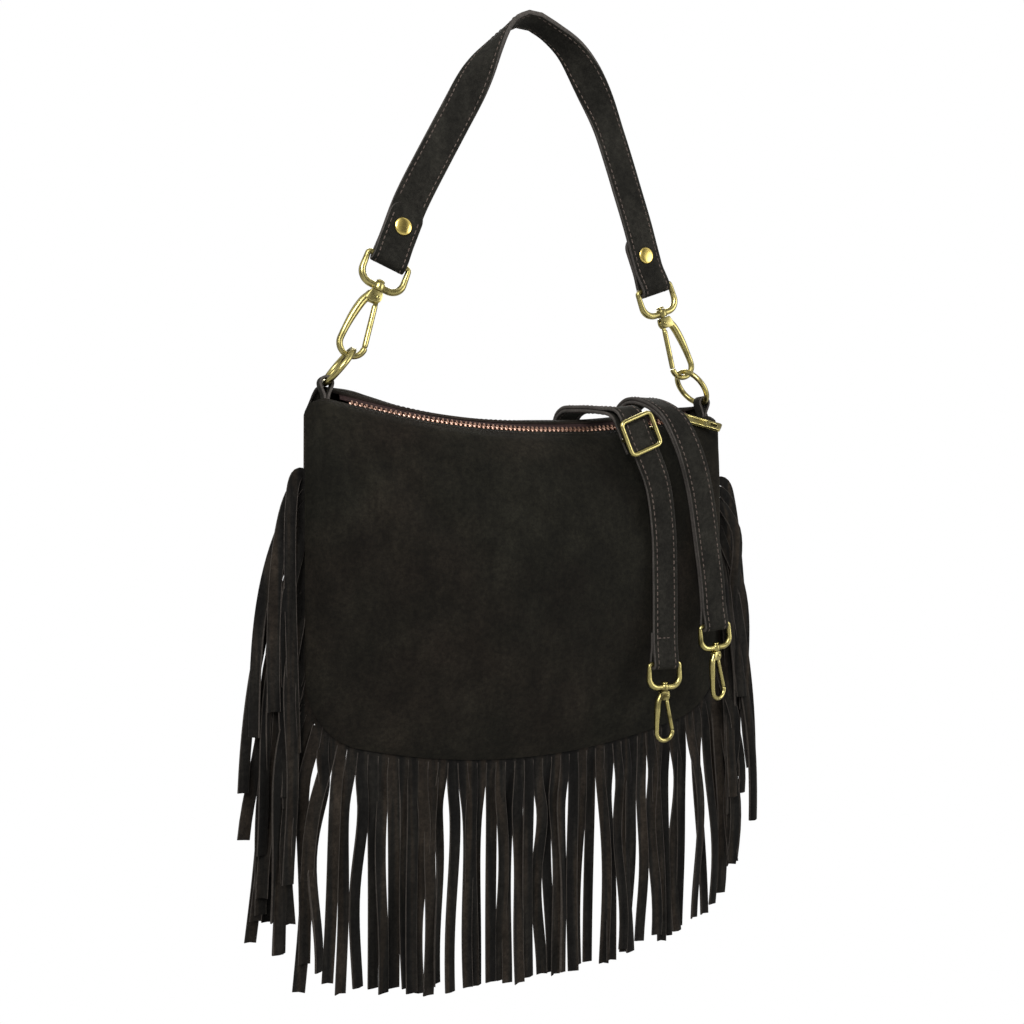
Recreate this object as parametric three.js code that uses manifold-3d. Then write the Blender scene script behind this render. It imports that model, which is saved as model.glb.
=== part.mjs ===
// Fringed suede shoulder bag, hanging from the crown of its short handle.
// Millimetres, +Z up, the front towards -Y, origin on the underside of the handle crown.
import * as THREE from 'three';
import { mergeVertices } from 'three/addons/utils/BufferGeometryUtils.js';
import Module from 'manifold-3d';

// Bag body
const BAG_WIDTH = 318;
const BAG_HEIGHT = 244;
const HANDLE_RISE = 274;
const BOTTOM_CURVE = 28;
const CORNER_RADIUS = 34;
const BELLY = 27;
const SHOULDER = 14;
const WALL = 1.6;
const GAP = 0.3;

// Zip
const ZIP_MARGIN = 24;
const ZIP_SAG = 14;
const ZIP_TILT = THREE.MathUtils.degToRad(35);
const TEETH_PITCH = 9;
const TOOTH_DEPTH = 1.8;
const TOOTH_THICKNESS = 2.4;
const CHAIN_SLOT = 1.2;
const TAPE_WIDTH = 9;
const TAPE_THICKNESS = 0.8;
const PULLER_LENGTH = 34;
const PULLER_WIDTH = 10;
const PULLER_THICKNESS = 2.2;

// Rings, tabs and handle
const RING_RADIUS = 14.5;
const RING_WIRE = 2.1;
const TAB_INSET = 13;
const TAB_WIDTH = 9;
const TAB_THICKNESS = 1.8;
const RING_LEAN = THREE.MathUtils.degToRad(38);
const CLASP_LEAN = THREE.MathUtils.degToRad(21);
const HANDLE_WIDTH = 24;
const HANDLE_THICKNESS = 3;
const TONGUE_LENGTH = 40;
const RIVET_HEIGHT = 24;
const RIVET_CAP = 6;

// Crossbody strap and the two clasp sizes
const STRAP_WIDTH = 20;
const STRAP_THICKNESS = 2.4;
const HANDLE_CLASP = {
  strap: HANDLE_WIDTH, bar: 1.9, height: 20, wire: 2.2, length: 51, bend: 8.6, shift: -3,
};
const STRAP_CLASP = {
  strap: STRAP_WIDTH, bar: 1.6, height: 17, wire: 1.7, length: 38, bend: 6.6, shift: 0,
};

// Fringe
const STRAND_WIDTH = 6;
const STRAND_PITCH = 7;
const STRAND_LENGTH = 151;
const FRINGE_THICKNESS = 1.4;
const HEADER = 8;
const FRINGE_START = 44;
const PILE_LAYERS = 6;
const LAYER_STEP = 3.2;
const TWIST_HELD = 1;
const PILE_COLUMNS = 14;

// Derived places
const HALF = BAG_WIDTH / 2;
const Z_TOP = -HANDLE_RISE;
const Z_BOTTOM = Z_TOP - BAG_HEIGHT;
const ZIP_LENGTH = BAG_WIDTH - 2 * ZIP_MARGIN;
const ZIP_HALF = ZIP_LENGTH / 2;
const ZIP_RADIUS = ZIP_HALF ** 2 / (2 * ZIP_SAG) + ZIP_SAG / 2;
const ZIP_CENTRE = Z_TOP - ZIP_SAG + ZIP_RADIUS;
const SEAM_HALF = FRINGE_THICKNESS / 2 + GAP + WALL / 2;

const wasm = await Module();
wasm.setup();
const group = new THREE.Group();
const vec = (x, y, z) => new THREE.Vector3(x, y, z);
const mix = THREE.MathUtils.lerp;
const X = vec(1, 0, 0);
const Y = vec(0, 1, 0);
const Z = vec(0, 0, 1);

function smooth(from, to, value) {
  return THREE.MathUtils.smoothstep(value, from, to);
}

// Repeatable variation between -1 and 1 for strand number i
function wobble(i, channel) {
  const wave = Math.sin(i * 12.9898 + channel * 78.233) * 43758.5453;
  return 2 * (wave - Math.floor(wave)) - 1;
}

// Sum of the vectors, each scaled by its factor: moved(base, [direction, amount], ...)
function moved(base, ...steps) {
  const result = base.clone();
  for (const [direction, amount] of steps) {
    result.addScaledVector(direction, amount);
  }
  return result;
}

function signedVolume(points, faces) {
  let total = 0;
  for (let i = 0; i < faces.length; i += 3) {
    const [a, b, c] = [points[faces[i]], points[faces[i + 1]], points[faces[i + 2]]];
    total += a.dot(b.clone().cross(c));
  }
  return total;
}

// Closed body from points and triangles, turned to face outwards
function bodyFrom(points, faces) {
  const flip = signedVolume(points, faces) < 0;
  const kept = [];
  for (let i = 0; i < faces.length; i += 3) {
    const [a, b, c] = [faces[i], faces[i + 1], faces[i + 2]];
    if (a !== b && b !== c && a !== c) {
      kept.push(a, flip ? c : b, flip ? b : c);
    }
  }
  const geometry = new THREE.BufferGeometry();
  const positions = points.flatMap((p) => [p.x, p.y, p.z]);
  geometry.setAttribute('position', new THREE.Float32BufferAttribute(positions, 3));
  geometry.setIndex(kept);
  return geometry;
}

// Welded closed body, after an optional move
function welded(source, matrix = new THREE.Matrix4()) {
  const plain = source.index ? source.clone() : mergeVertices(source);
  plain.deleteAttribute('normal');
  plain.deleteAttribute('uv');
  plain.applyMatrix4(matrix);
  const merged = mergeVertices(plain, 1e-5);
  const position = merged.attributes.position;
  const points = [];
  for (let i = 0; i < position.count; i++) {
    points.push(new THREE.Vector3().fromBufferAttribute(position, i));
  }
  return bodyFrom(points, Array.from(merged.index.array));
}

function toManifold(geometry) {
  const vertProperties = Float32Array.from(geometry.attributes.position.array);
  const triVerts = Uint32Array.from(geometry.index.array);
  return new wasm.Manifold(new wasm.Mesh({ numProp: 3, vertProperties, triVerts }));
}

function fromManifold(body) {
  const mesh = body.getMesh();
  const geometry = new THREE.BufferGeometry();
  geometry.setAttribute('position', new THREE.Float32BufferAttribute(mesh.vertProperties, 3));
  geometry.setIndex(Array.from(mesh.triVerts));
  return geometry;
}

function join(...parts) {
  let total = toManifold(parts[0]);
  for (const part of parts.slice(1)) {
    total = total.add(toManifold(part));
  }
  return fromManifold(total);
}

function cut(base, ...tools) {
  let total = toManifold(base);
  for (const tool of tools) {
    total = total.subtract(toManifold(tool));
  }
  return fromManifold(total);
}

// Rings of points joined into a closed body, capped at both ends or running round
function loft(rings, round = false) {
  const count = rings[0].length;
  const faces = [];
  const spans = round ? rings.length : rings.length - 1;
  for (let i = 0; i < spans; i++) {
    const a = i * count;
    const b = ((i + 1) % rings.length) * count;
    for (let j = 0; j < count; j++) {
      const k = (j + 1) % count;
      faces.push(a + j, a + k, b + k, a + j, b + k, b + j);
    }
  }
  const last = (rings.length - 1) * count;
  for (let j = 1; j < count - 1 && !round; j++) {
    faces.push(0, j + 1, j, last, last + j, last + j + 1);
  }
  return bodyFrom(rings.flat(), faces);
}

// Flat strip through samples of { at, across, out, width }
function ribbon(samples, thickness) {
  return loft(samples.map(({ at, across, out, width }) => [
    moved(at, [across, width / 2], [out, thickness / 2]),
    moved(at, [across, -width / 2], [out, thickness / 2]),
    moved(at, [across, -width / 2], [out, -thickness / 2]),
    moved(at, [across, width / 2], [out, -thickness / 2]),
  ]));
}

// Round wire along points that lie in the plane square to `flat`
function wire(points, radius, flat, round = false, sides = 6) {
  const n = points.length;
  const rings = points.map((at, i) => {
    const before = points[round ? (i + n - 1) % n : Math.max(i - 1, 0)];
    const after = points[round ? (i + 1) % n : Math.min(i + 1, n - 1)];
    const side = flat.clone().cross(after.clone().sub(before).normalize());
    return Array.from({ length: sides }, (_, k) => {
      const turn = (2 * Math.PI * (k + 0.5)) / sides;
      return moved(at, [side, radius * Math.cos(turn)], [flat, radius * Math.sin(turn)]);
    });
  });
  return loft(rings, round);
}

// Turned body: profile of [radius, height] about the axis through `at`
function turned(profile, at, axis, segments = 8) {
  const lathe = new THREE.LatheGeometry(profile.map(([r, h]) => new THREE.Vector2(r, h)), segments);
  const matrix = new THREE.Matrix4().makeRotationFromQuaternion(
    new THREE.Quaternion().setFromUnitVectors(Y, axis.clone().normalize()),
  );
  matrix.setPosition(at);
  return welded(lathe, matrix);
}

function rod(radius, from, to, at, axis, segments = 8) {
  return turned([[0, from], [radius, from], [radius, to], [0, to]], at, axis, segments);
}

function boxBetween(low, high) {
  const box = new THREE.BoxGeometry(high.x - low.x, high.y - low.y, high.z - low.z);
  return welded(box, new THREE.Matrix4().makeTranslation(
    (low.x + high.x) / 2, (low.y + high.y) / 2, (low.z + high.z) / 2,
  ));
}

// Outline with holes in local x and z, spread evenly to both sides of y = 0
function plate(outline, thickness, holes = []) {
  const shape = new THREE.Shape(outline.map(([x, z]) => new THREE.Vector2(x, z)));
  for (const hole of holes) {
    shape.holes.push(new THREE.Path(hole.map(([x, z]) => new THREE.Vector2(x, z))));
  }
  const solid = new THREE.ExtrudeGeometry(shape, { depth: thickness, bevelEnabled: false });
  const matrix = new THREE.Matrix4().makeRotationX(Math.PI / 2);
  matrix.setPosition(0, thickness / 2, 0);
  return welded(solid, matrix);
}

function roundedBox(halfX, halfZ, radius, steps = 3, centreZ = 0) {
  const points = [];
  const corners = [[1, 1], [-1, 1], [-1, -1], [1, -1]];
  corners.forEach(([sx, sz], quarter) => {
    for (let i = 0; i <= steps; i++) {
      const turn = ((quarter + i / steps) * Math.PI) / 2;
      const x = sx * (halfX - radius) + radius * Math.cos(turn);
      points.push([x, centreZ + sz * (halfZ - radius) + radius * Math.sin(turn)]);
    }
  });
  return points;
}

function addPart(name, geometry, colour, metalness = 0, roughness = 0.9) {
  const material = new THREE.MeshStandardMaterial({ color: colour, metalness, roughness });
  material.name = name;
  const flat = geometry.toNonIndexed();
  flat.computeVertexNormals();
  const mesh = new THREE.Mesh(flat, material);
  mesh.name = name;
  group.add(mesh);
}

const SUEDE = 0x3a322b;
const STRAP_SUEDE = 0x423931;
const BRASS = 0x9a8446;
const COPPER = 0xa57a66;
const TAPE = 0x4a3a3a;

// Panels

function zipHeight(x) {
  return ZIP_CENTRE - Math.sqrt(ZIP_RADIUS ** 2 - x ** 2);
}

function seamHeight(x) {
  const reach = Math.max(0, Math.abs(x) - (HALF - CORNER_RADIUS));
  const corner = CORNER_RADIUS - Math.sqrt(Math.max(0, CORNER_RADIUS ** 2 - reach ** 2));
  return Z_BOTTOM + BOTTOM_CURVE * (x / HALF) ** 2 + corner;
}

// Fall of the bag's shoulders outside the tabs
function shoulderDrop(x) {
  return SHOULDER * Math.max(0, (Math.abs(x) - HALF + TAB_INSET) / TAB_INSET) ** 2;
}

// Point p across the zip (to the back) and q off its face, above x on the bag
function zipPoint(x, p, q) {
  const y = p * Math.cos(ZIP_TILT) - q * Math.sin(ZIP_TILT);
  const z = p * Math.sin(ZIP_TILT) + q * Math.cos(ZIP_TILT);
  return vec(x, y, zipHeight(x) + z);
}

// Top rows of a panel over its tape, then the belly down to the seam
function panelPoints(side, topRows, rows, columns) {
  const points = [];
  const seat = TAPE_THICKNESS / 2 + GAP + WALL / 2;
  for (let row = 0; row < topRows.length + rows; row++) {
    const line = [];
    for (let column = 0; column <= columns; column++) {
      const x = HALF * Math.sin(((2 * column) / columns - 1) * (Math.PI / 2));
      const open = 1 - smooth(HALF - 7, HALF, Math.abs(x));
      const edge = (p, q) => {
        const spread = zipPoint(x, p, q + seat);
        const closed = vec(x, side * SEAM_HALF, zipHeight(x) - 8 * (topRows[0][0] - p) * side / 30);
        return moved(closed.lerp(spread, open), [Z, -shoulderDrop(x)]);
      };
      if (row < topRows.length) {
        line.push(edge(...topRows[row]));
      } else {
        const w = (row - topRows.length + 1) / rows;
        const start = edge(...topRows[topRows.length - 1]);
        const round = Math.sqrt(Math.max(0, 1 - (x / HALF) ** 2));
        const swell = BELLY * round * Math.sin(Math.PI * w ** 0.8) ** 0.8;
        const y = mix(start.y, side * SEAM_HALF, w) + (w < 1 ? side * swell : 0);
        line.push(vec(x, y, mix(start.z, seamHeight(x), w)));
      }
    }
    points.push(line);
  }
  return points;
}

// Sheet of even wall on both sides of a grid of middle points
function sheet(grid, wall) {
  const rows = grid.length;
  const columns = grid[0].length;
  const normal = (i, j) => {
    const down = grid[Math.min(i + 1, rows - 1)][j].clone().sub(grid[Math.max(i - 1, 0)][j]);
    const over = grid[i][Math.min(j + 1, columns - 1)].clone().sub(grid[i][Math.max(j - 1, 0)]);
    return down.cross(over).normalize();
  };
  const face = (sign) => grid.flatMap((line, i) => (
    line.map((point, j) => moved(point, [normal(i, j), (sign * wall) / 2]))
  ));
  const points = [...face(1), ...face(-1)];
  const far = rows * columns;
  const faces = [];
  const quad = (a, b, c, d) => faces.push(a, b, c, a, c, d);
  for (let i = 0; i < rows - 1; i++) {
    for (let j = 0; j < columns - 1; j++) {
      const a = i * columns + j;
      const b = a + columns;
      quad(a, b, b + 1, a + 1);
      quad(far + a, far + a + 1, far + b + 1, far + b);
    }
    const left = i * columns;
    const right = left + columns - 1;
    quad(left, far + left, far + left + columns, left + columns);
    quad(right, right + columns, far + right + columns, far + right);
  }
  for (let j = 0; j < columns - 1; j++) {
    const low = (rows - 1) * columns + j;
    quad(j, j + 1, far + j + 1, far + j);
    quad(low, far + low, far + low + 1, low + 1);
  }
  return bodyFrom(points, faces);
}

const FRONT_EDGE = -6;
const BACK_EDGE = 8.2;
const frontRows = [[FRONT_EDGE, 0], [FRONT_EDGE - 7, 0]];
const backRows = [[BACK_EDGE, 0], [BACK_EDGE + 5, 0], [BACK_EDGE + 10, -2.5], [BACK_EDGE + 13, -7]];
addPart('front_panel', sheet(panelPoints(-1, frontRows, 10, 16), WALL), SUEDE);
addPart('back_panel', sheet(panelPoints(1, backRows, 9, 16), WALL), SUEDE);

// Zip

// Flat x along the zip, p and q across it, bent onto the arc of the bag top
function bent(geometry) {
  const position = geometry.attributes.position;
  const points = [];
  for (let i = 0; i < position.count; i++) {
    const [along, p, q] = [position.getX(i), position.getY(i), position.getZ(i)];
    const flat = zipPoint(0, p, q);
    const reach = ZIP_CENTRE - flat.z;
    const turn = along / ZIP_RADIUS;
    points.push(vec(reach * Math.sin(turn), flat.y, ZIP_CENTRE - reach * Math.cos(turn)));
  }
  return bodyFrom(points, Array.from(geometry.index.array));
}

const CHAIN_EDGE = CHAIN_SLOT / 2;
const SPINE_INNER = CHAIN_EDGE + TOOTH_DEPTH;
const SPINE_OUTER = SPINE_INNER + 1.1;
const TAPE_INNER = SPINE_OUTER + GAP;

function tape(side) {
  const slab = new THREE.BoxGeometry(ZIP_LENGTH + 4, TAPE_WIDTH, TAPE_THICKNESS, 20, 1, 1);
  slab.translate(0, side * (TAPE_INNER + TAPE_WIDTH / 2), 0);
  return bent(welded(slab));
}

// One row of teeth, each clamped on the narrow cord that runs along the tape
function teethRow(side) {
  const count = Math.floor(ZIP_LENGTH / TEETH_PITCH);
  const start = (-count * TEETH_PITCH) / 2 + (side > 0 ? TEETH_PITCH / 2 : 0);
  const points = [];
  const faces = [];
  const half = TOOTH_THICKNESS / 2;
  const column = (x) => {
    points.push(vec(x, side * SPINE_OUTER, half), vec(x, side * SPINE_INNER, half));
    points.push(vec(x, side * SPINE_INNER, -half), vec(x, side * SPINE_OUTER, -half));
    return points.length - 4;
  };
  const quad = (a, b, c, d) => faces.push(a, b, c, a, c, d);
  let left = column(start);
  quad(left, left + 3, left + 2, left + 1);
  for (let i = 0; i < count; i++) {
    const from = start + i * TEETH_PITCH;
    for (const [share, toothed] of [[0.38, true], [1, false]]) {
      const right = column(from + share * TEETH_PITCH);
      quad(left, left + 1, right + 1, right);
      quad(left + 2, left + 3, right + 3, right + 2);
      quad(left + 3, left, right, right + 3);
      if (toothed) {
        const tip = points.length;
        for (const at of [left + 1, left + 2, right + 2, right + 1]) {
          points.push(vec(points[at].x, side * CHAIN_EDGE, points[at].z));
        }
        quad(left + 1, tip, tip + 3, right + 1);
        quad(tip, tip + 1, tip + 2, tip + 3);
        quad(left + 2, right + 2, tip + 2, tip + 1);
        quad(left + 1, left + 2, tip + 1, tip);
        quad(right + 1, tip + 3, tip + 2, right + 2);
      } else {
        quad(left + 1, left + 2, right + 2, right + 1);
      }
      left = right;
    }
  }
  quad(left, left + 1, left + 2, left + 3);
  return bent(bodyFrom(points, faces));
}

addPart('zip_tape_front', tape(-1), TAPE);
addPart('zip_tape_back', tape(1), TAPE);
addPart('zip_teeth_front', teethRow(-1), COPPER, 0.9, 0.4);
addPart('zip_teeth_back', teethRow(1), COPPER, 0.9, 0.4);

// Slider: two plates with turned-in edges, joined by a thin web in the slot of the chain
const SLIDER_AT = ZIP_HALF - 13;
const SLIDER_LENGTH = 11;
const PLATE_IN = TOOTH_THICKNESS / 2 + GAP;
const PLATE_OUT = PLATE_IN + 1.3;
const LIP_IN = SPINE_OUTER + GAP;
const LIP_OUT = LIP_IN + 1;
const LIP_TIP = TAPE_THICKNESS / 2 + GAP;
const WEB = CHAIN_EDGE - GAP;

function sliderBody() {
  const quarter = [
    [WEB, PLATE_IN], [LIP_IN, PLATE_IN], [LIP_IN, LIP_TIP], [LIP_OUT, LIP_TIP], [LIP_OUT, PLATE_OUT],
  ];
  const mirrored = quarter.map(([p, q]) => [p, -q]).reverse();
  const right = [...mirrored, ...quarter];
  const left = right.map(([p, q]) => [-p, -q]);
  const section = new THREE.Shape([...right, ...left].map(([p, q]) => new THREE.Vector2(p, q)));
  const body = new THREE.ExtrudeGeometry(section, { depth: SLIDER_LENGTH, bevelEnabled: false });
  const turn = new THREE.Matrix4().makeBasis(Y, Z, X);
  turn.setPosition(SLIDER_AT - SLIDER_LENGTH / 2, 0, 0);
  return welded(body, turn);
}

const BAIL_TOP = PLATE_OUT + 4.2;
const BAIL_HALF = 3.5;
function sliderBail() {
  const low = PLATE_OUT - 0.4;
  const path = [
    [-BAIL_HALF, low], [-BAIL_HALF, BAIL_TOP - 0.8], [0.8 - BAIL_HALF, BAIL_TOP],
    [BAIL_HALF - 0.8, BAIL_TOP], [BAIL_HALF, BAIL_TOP - 0.8], [BAIL_HALF, low],
  ];
  return wire(path.map(([x, q]) => vec(SLIDER_AT + x, 0, q)), 0.9, Y);
}

addPart('zip_slider', bent(join(sliderBody(), sliderBail())), BRASS, 0.9, 0.4);

// Puller: eye round the bail, raised rim, sunk face and a slot near the free end
function puller() {
  const length = PULLER_LENGTH;
  const half = PULLER_WIDTH / 2;
  const outline = [
    [-half, 1.9], [half, 1.9], [half, -length + 1.2], [half - 1.2, -length], [1.2 - half, -length],
    [-half, -length + 1.2],
  ].reverse();
  const eye = [[-3.9, 0.4], [3.9, 0.4], [3.9, -3.8], [-3.9, -3.8]];
  const slot = roundedBox(2.1, 3.1, 0.8, 2, -length + 6.2);
  const blank = plate(outline, PULLER_THICKNESS, [eye, slot]);
  const deep = 0.55;
  const top = -8;
  const low = -length + 11;
  const pocket = (side) => boxBetween(
    vec(1.5 - half, side > 0 ? PULLER_THICKNESS / 2 - deep : -PULLER_THICKNESS, low),
    vec(half - 1.5, side > 0 ? PULLER_THICKNESS : deep - PULLER_THICKNESS / 2, top),
  );
  return cut(blank, pocket(1), pocket(-1));
}

const PULLER_YAW = THREE.MathUtils.degToRad(48);
const zipTurn = SLIDER_AT / ZIP_RADIUS;
const zipAlong = vec(Math.cos(zipTurn), 0, Math.sin(zipTurn));
const zipOff = vec(0, -Math.sin(ZIP_TILT), Math.cos(ZIP_TILT)).applyAxisAngle(Y, -zipTurn);
const zipAcross = zipOff.clone().cross(zipAlong);
const pullerDown = moved(
  vec(0, 0, 0), [zipAlong, -Math.cos(PULLER_YAW)], [zipAcross, Math.sin(PULLER_YAW)],
);
const pullerAxis = zipOff.clone().cross(pullerDown).normalize().negate();
const bailPoint = zipPoint(0, 0, PLATE_OUT + 1.65);
const bailReach = ZIP_CENTRE - bailPoint.z;
const bailCentre = vec(
  bailReach * Math.sin(zipTurn), bailPoint.y, ZIP_CENTRE - bailReach * Math.cos(zipTurn),
);
const pullerFrame = new THREE.Matrix4().makeBasis(pullerAxis, zipOff, pullerDown);
const pullerSeat = moved(bailCentre, [pullerDown, -1.2]);
pullerFrame.setPosition(pullerSeat);
addPart('zip_puller', welded(puller(), pullerFrame), BRASS, 0.9, 0.4);

// Swivel clasps, built hanging down local -z from the swivel, gate on the +x side

function claspLoop(size) {
  const half = size.strap / 2 + 1 + size.bar;
  const top = 2.2;
  const low = size.strap * 0.36;
  const corners = [[1, size.height, top, 0], [-1, size.height, top, 1], [-1, 0, low, 2], [1, 0, low, 3]];
  const points = [];
  for (const [side, height, radius, quarter] of corners) {
    for (let i = 0; i <= 3; i++) {
      const turn = ((quarter + i / 3) * Math.PI) / 2;
      const level = height > 0 ? height - radius : radius;
      points.push(vec(side * (half - radius) + radius * Math.cos(turn), 0, level + radius * Math.sin(turn)));
    }
  }
  const k = size.wire / 2.2;
  const origin = vec(0, 0, 0);
  const boss = turned([
    [0, -3 * k], [3.4 * k, -3 * k], [3.9 * k, -1.5 * k], [3.9 * k, 1.5 * k], [3.2 * k, 3 * k], [0, 3 * k],
  ], origin, Z);
  const bore = rod(1.4 * k + GAP, -6, 6, origin, Z);
  return cut(join(wire(points, size.bar, Y, true), boss), bore);
}

function claspPin(size) {
  const k = size.wire / 2.2;
  return vec(1.4 * k, 0, -7.6 * k);
}

// Swivel post with its head, forked neck, then the bent wire round to the nose
function claspHook(size) {
  const k = size.wire / 2.2;
  const origin = vec(0, 0, 0);
  const shoulder = -3 * k - GAP;
  const seat = 3 * k + GAP;
  const post = turned([[0, shoulder - 2], [1.4 * k, shoulder - 2], [1.4 * k, seat], [2.9 * k, seat],
    [2.9 * k, seat + 1 * k], [2 * k, seat + 1.8 * k], [0, seat + 1.8 * k]], origin, Z);
  const neck = plate([[-4.4, 3.2], [3.6, 3.2], [4.4, 8], [3, 11.2], [-3.4, 11.6], [-6.4, 10.6]].map(
    ([x, z]) => [x * k, z === 3.2 ? shoulder : -z * k],
  ), 6.4 * k);
  const centre = [size.shift, -(size.length - size.bend)];
  const spine = [[-3.9 * k, -7.5 * k], [-6.6 * k, -12.5 * k]];
  spine.push([mix(-6.6 * k, size.shift - size.bend, 0.62), mix(-12.5 * k, centre[1], 0.42)]);
  for (let i = -1; i <= 10; i++) {
    const turn = Math.PI + (i / 10) * Math.PI;
    const round = i < 0 ? 0.995 : 1;
    spine.push([centre[0] + round * size.bend * Math.cos(turn), centre[1] + size.bend * Math.sin(turn)]);
  }
  const bow = wire(spine.map(([x, z]) => vec(x, 0, z)), size.wire, Y);
  const pin = claspPin(size);
  const slot = boxBetween(vec(-1.8 * k, -1.6 * k, -13 * k), vec(7 * k, 1.6 * k, pin.z + 2.4 * k + 2 * GAP));
  return cut(join(post, neck, bow), slot, rod(0.8 * k + GAP, -8, 8, pin, Y));
}

// Gate: eye in the fork, then a bar down to the nose
function claspGate(size) {
  const k = size.wire / 2.2;
  const pin = claspPin(size);
  const nose = vec(size.shift + size.bend, 0, -(size.length - size.bend));
  const reach = nose.clone().sub(pin);
  const length = reach.length();
  const down = reach.clone().normalize();
  const side = Y.clone().cross(down).normalize();
  const thin = moved(pin, [Y, -0.5 * k]);
  const eye = rod(2.3 * k, -0.8 * k, 0.8 * k, thin, Y);
  const half = (across) => [moved(thin, [side, across]), moved(thin, [side, across], [down, 7 * k])];
  const [a, b] = [half(1.5 * k), half(-1.5 * k)];
  const thick = 0.8 * k;
  const arm = loft([0, 1].map((i) => [
    moved(a[i], [Y, -thick]), moved(a[i], [Y, thick]), moved(b[i], [Y, thick]), moved(b[i], [Y, -thick]),
  ]));
  const bar = wire([moved(pin, [down, 5.2 * k]), moved(pin, [down, length - 2 * GAP])], 1.8 * k, Y);
  return cut(join(eye, arm, bar), rod(0.8 * k + GAP, -8, 8, pin, Y));
}

function claspGatePin(size) {
  const k = size.wire / 2.2;
  const half = 3.2 * k + 0.2;
  const head = 0.5;
  const end = [[0, half + head], [1.5 * k, half + head], [1.5 * k, half], [0.8 * k, half]];
  const start = end.map(([r, h]) => [r, -h]);
  return turned([...start, ...end.reverse()], claspPin(size), Y);
}

function claspSpring(size) {
  const k = size.wire / 2.2;
  const inner = 0.8 * k + GAP;
  const outer = inner + 0.7 * k;
  const section = [[inner, 0.6 * k], [outer, 0.6 * k], [outer, 1.3 * k], [inner, 1.3 * k], [inner, 0.6 * k]];
  const ring = new THREE.LatheGeometry(section.map(([r, h]) => new THREE.Vector2(r, h)), 8);
  const at = claspPin(size);
  return welded(ring, new THREE.Matrix4().makeTranslation(at.x, at.y, at.z));
}

// All pieces of one clasp, its loop standing on `frame` and its hook turned on the swivel
function addClasp(prefix, size, frame, turn = 0) {
  const swivel = frame.clone().multiply(new THREE.Matrix4().makeRotationZ(turn));
  addPart(`${prefix}_loop`, welded(claspLoop(size), frame), BRASS, 0.9, 0.4);
  addPart(`${prefix}_hook`, welded(claspHook(size), swivel), BRASS, 0.9, 0.4);
  addPart(`${prefix}_gate`, welded(claspGate(size), swivel), BRASS, 0.9, 0.4);
  addPart(`${prefix}_gate_pin`, welded(claspGatePin(size), swivel), BRASS, 0.9, 0.4);
  addPart(`${prefix}_gate_spring`, welded(claspSpring(size), swivel), BRASS, 0.9, 0.4);
}

// Rings in their tabs, and the handle clasps that hook into them

const TAB_X = HALF - TAB_INSET;
const TAB_Z = Z_TOP + 11.5;
const FOLD_SLACK = RING_RADIUS - Math.sqrt(RING_RADIUS ** 2 - (TAB_WIDTH / 2) ** 2);

// Hairpin of strap round a bar: offsets to both sides of the centre plane, then the half circle
function hairpinOffset(height, foldRadius, thickness, closeAt) {
  return mix(foldRadius, (thickness + GAP) / 2, smooth(0, closeAt, height));
}

function tab(at) {
  const fold = RING_WIRE + FOLD_SLACK + GAP + TAB_THICKNESS / 2;
  const heights = [17, 12, 8, 4, 1];
  const samples = [];
  const leg = (height, side) => {
    const offset = hairpinOffset(height, fold, TAB_THICKNESS, 10);
    const out = moved(vec(0, 0, 0), [X, side]);
    samples.push({ at: moved(at, [Z, -height], [X, side * offset]), across: Y, out, width: TAB_WIDTH });
  };
  heights.forEach((height) => leg(height, -1));
  for (let i = 0; i <= 8; i++) {
    const turn = Math.PI - (i / 8) * Math.PI;
    const out = vec(Math.cos(turn), 0, Math.sin(turn));
    samples.push({ at: moved(at, [out, fold]), across: Y, out, width: TAB_WIDTH });
  }
  heights.reverse().forEach((height) => leg(height, 1));
  return ribbon(samples, TAB_THICKNESS);
}

// Frames of the handle ends: side -1 is the left, +1 the right
function handleEnd(side) {
  const wireAt = vec(side * TAB_X, 0, TAB_Z);
  const ringUp = vec(-side * Math.sin(RING_LEAN), 0, Math.cos(RING_LEAN));
  const up = vec(-side * Math.sin(CLASP_LEAN), 0, Math.cos(CLASP_LEAN));
  const inner = vec(-side * Math.cos(CLASP_LEAN), 0, -Math.sin(CLASP_LEAN));
  const contact = 2 * RING_RADIUS - RING_WIRE - HANDLE_CLASP.wire - 0.5;
  const hooked = moved(wireAt, [ringUp, contact]);
  const swivel = moved(hooked, [up, HANDLE_CLASP.length], [inner, -HANDLE_CLASP.shift]);
  const bar = moved(swivel, [up, HANDLE_CLASP.height]);
  const frame = new THREE.Matrix4().makeBasis(inner, up.clone().cross(inner), up);
  frame.setPosition(swivel);
  return { wireAt, ringUp, up, inner, hooked, swivel, bar, frame, side };
}

const ends = { left: handleEnd(-1), right: handleEnd(1) };
for (const [name, end] of Object.entries(ends)) {
  addPart(`${name}_tab`, tab(end.wireAt), STRAP_SUEDE);
  const ring = new THREE.TorusGeometry(RING_RADIUS, RING_WIRE, 6, 20);
  const basis = new THREE.Matrix4().makeBasis(Y, end.ringUp, Y.clone().cross(end.ringUp));
  basis.setPosition(moved(end.wireAt, [end.ringUp, RING_RADIUS]));
  addPart(`${name}_ring`, welded(ring, basis), BRASS, 0.9, 0.4);
  addClasp(`${name}_handle`, HANDLE_CLASP, end.frame);
}

// Handle strap: each limb turns a quarter between its flat end and the crown

const HANDLE_FOLD = HANDLE_CLASP.bar + GAP + HANDLE_THICKNESS / 2;
const CROWN_FLAT = 10;

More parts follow.
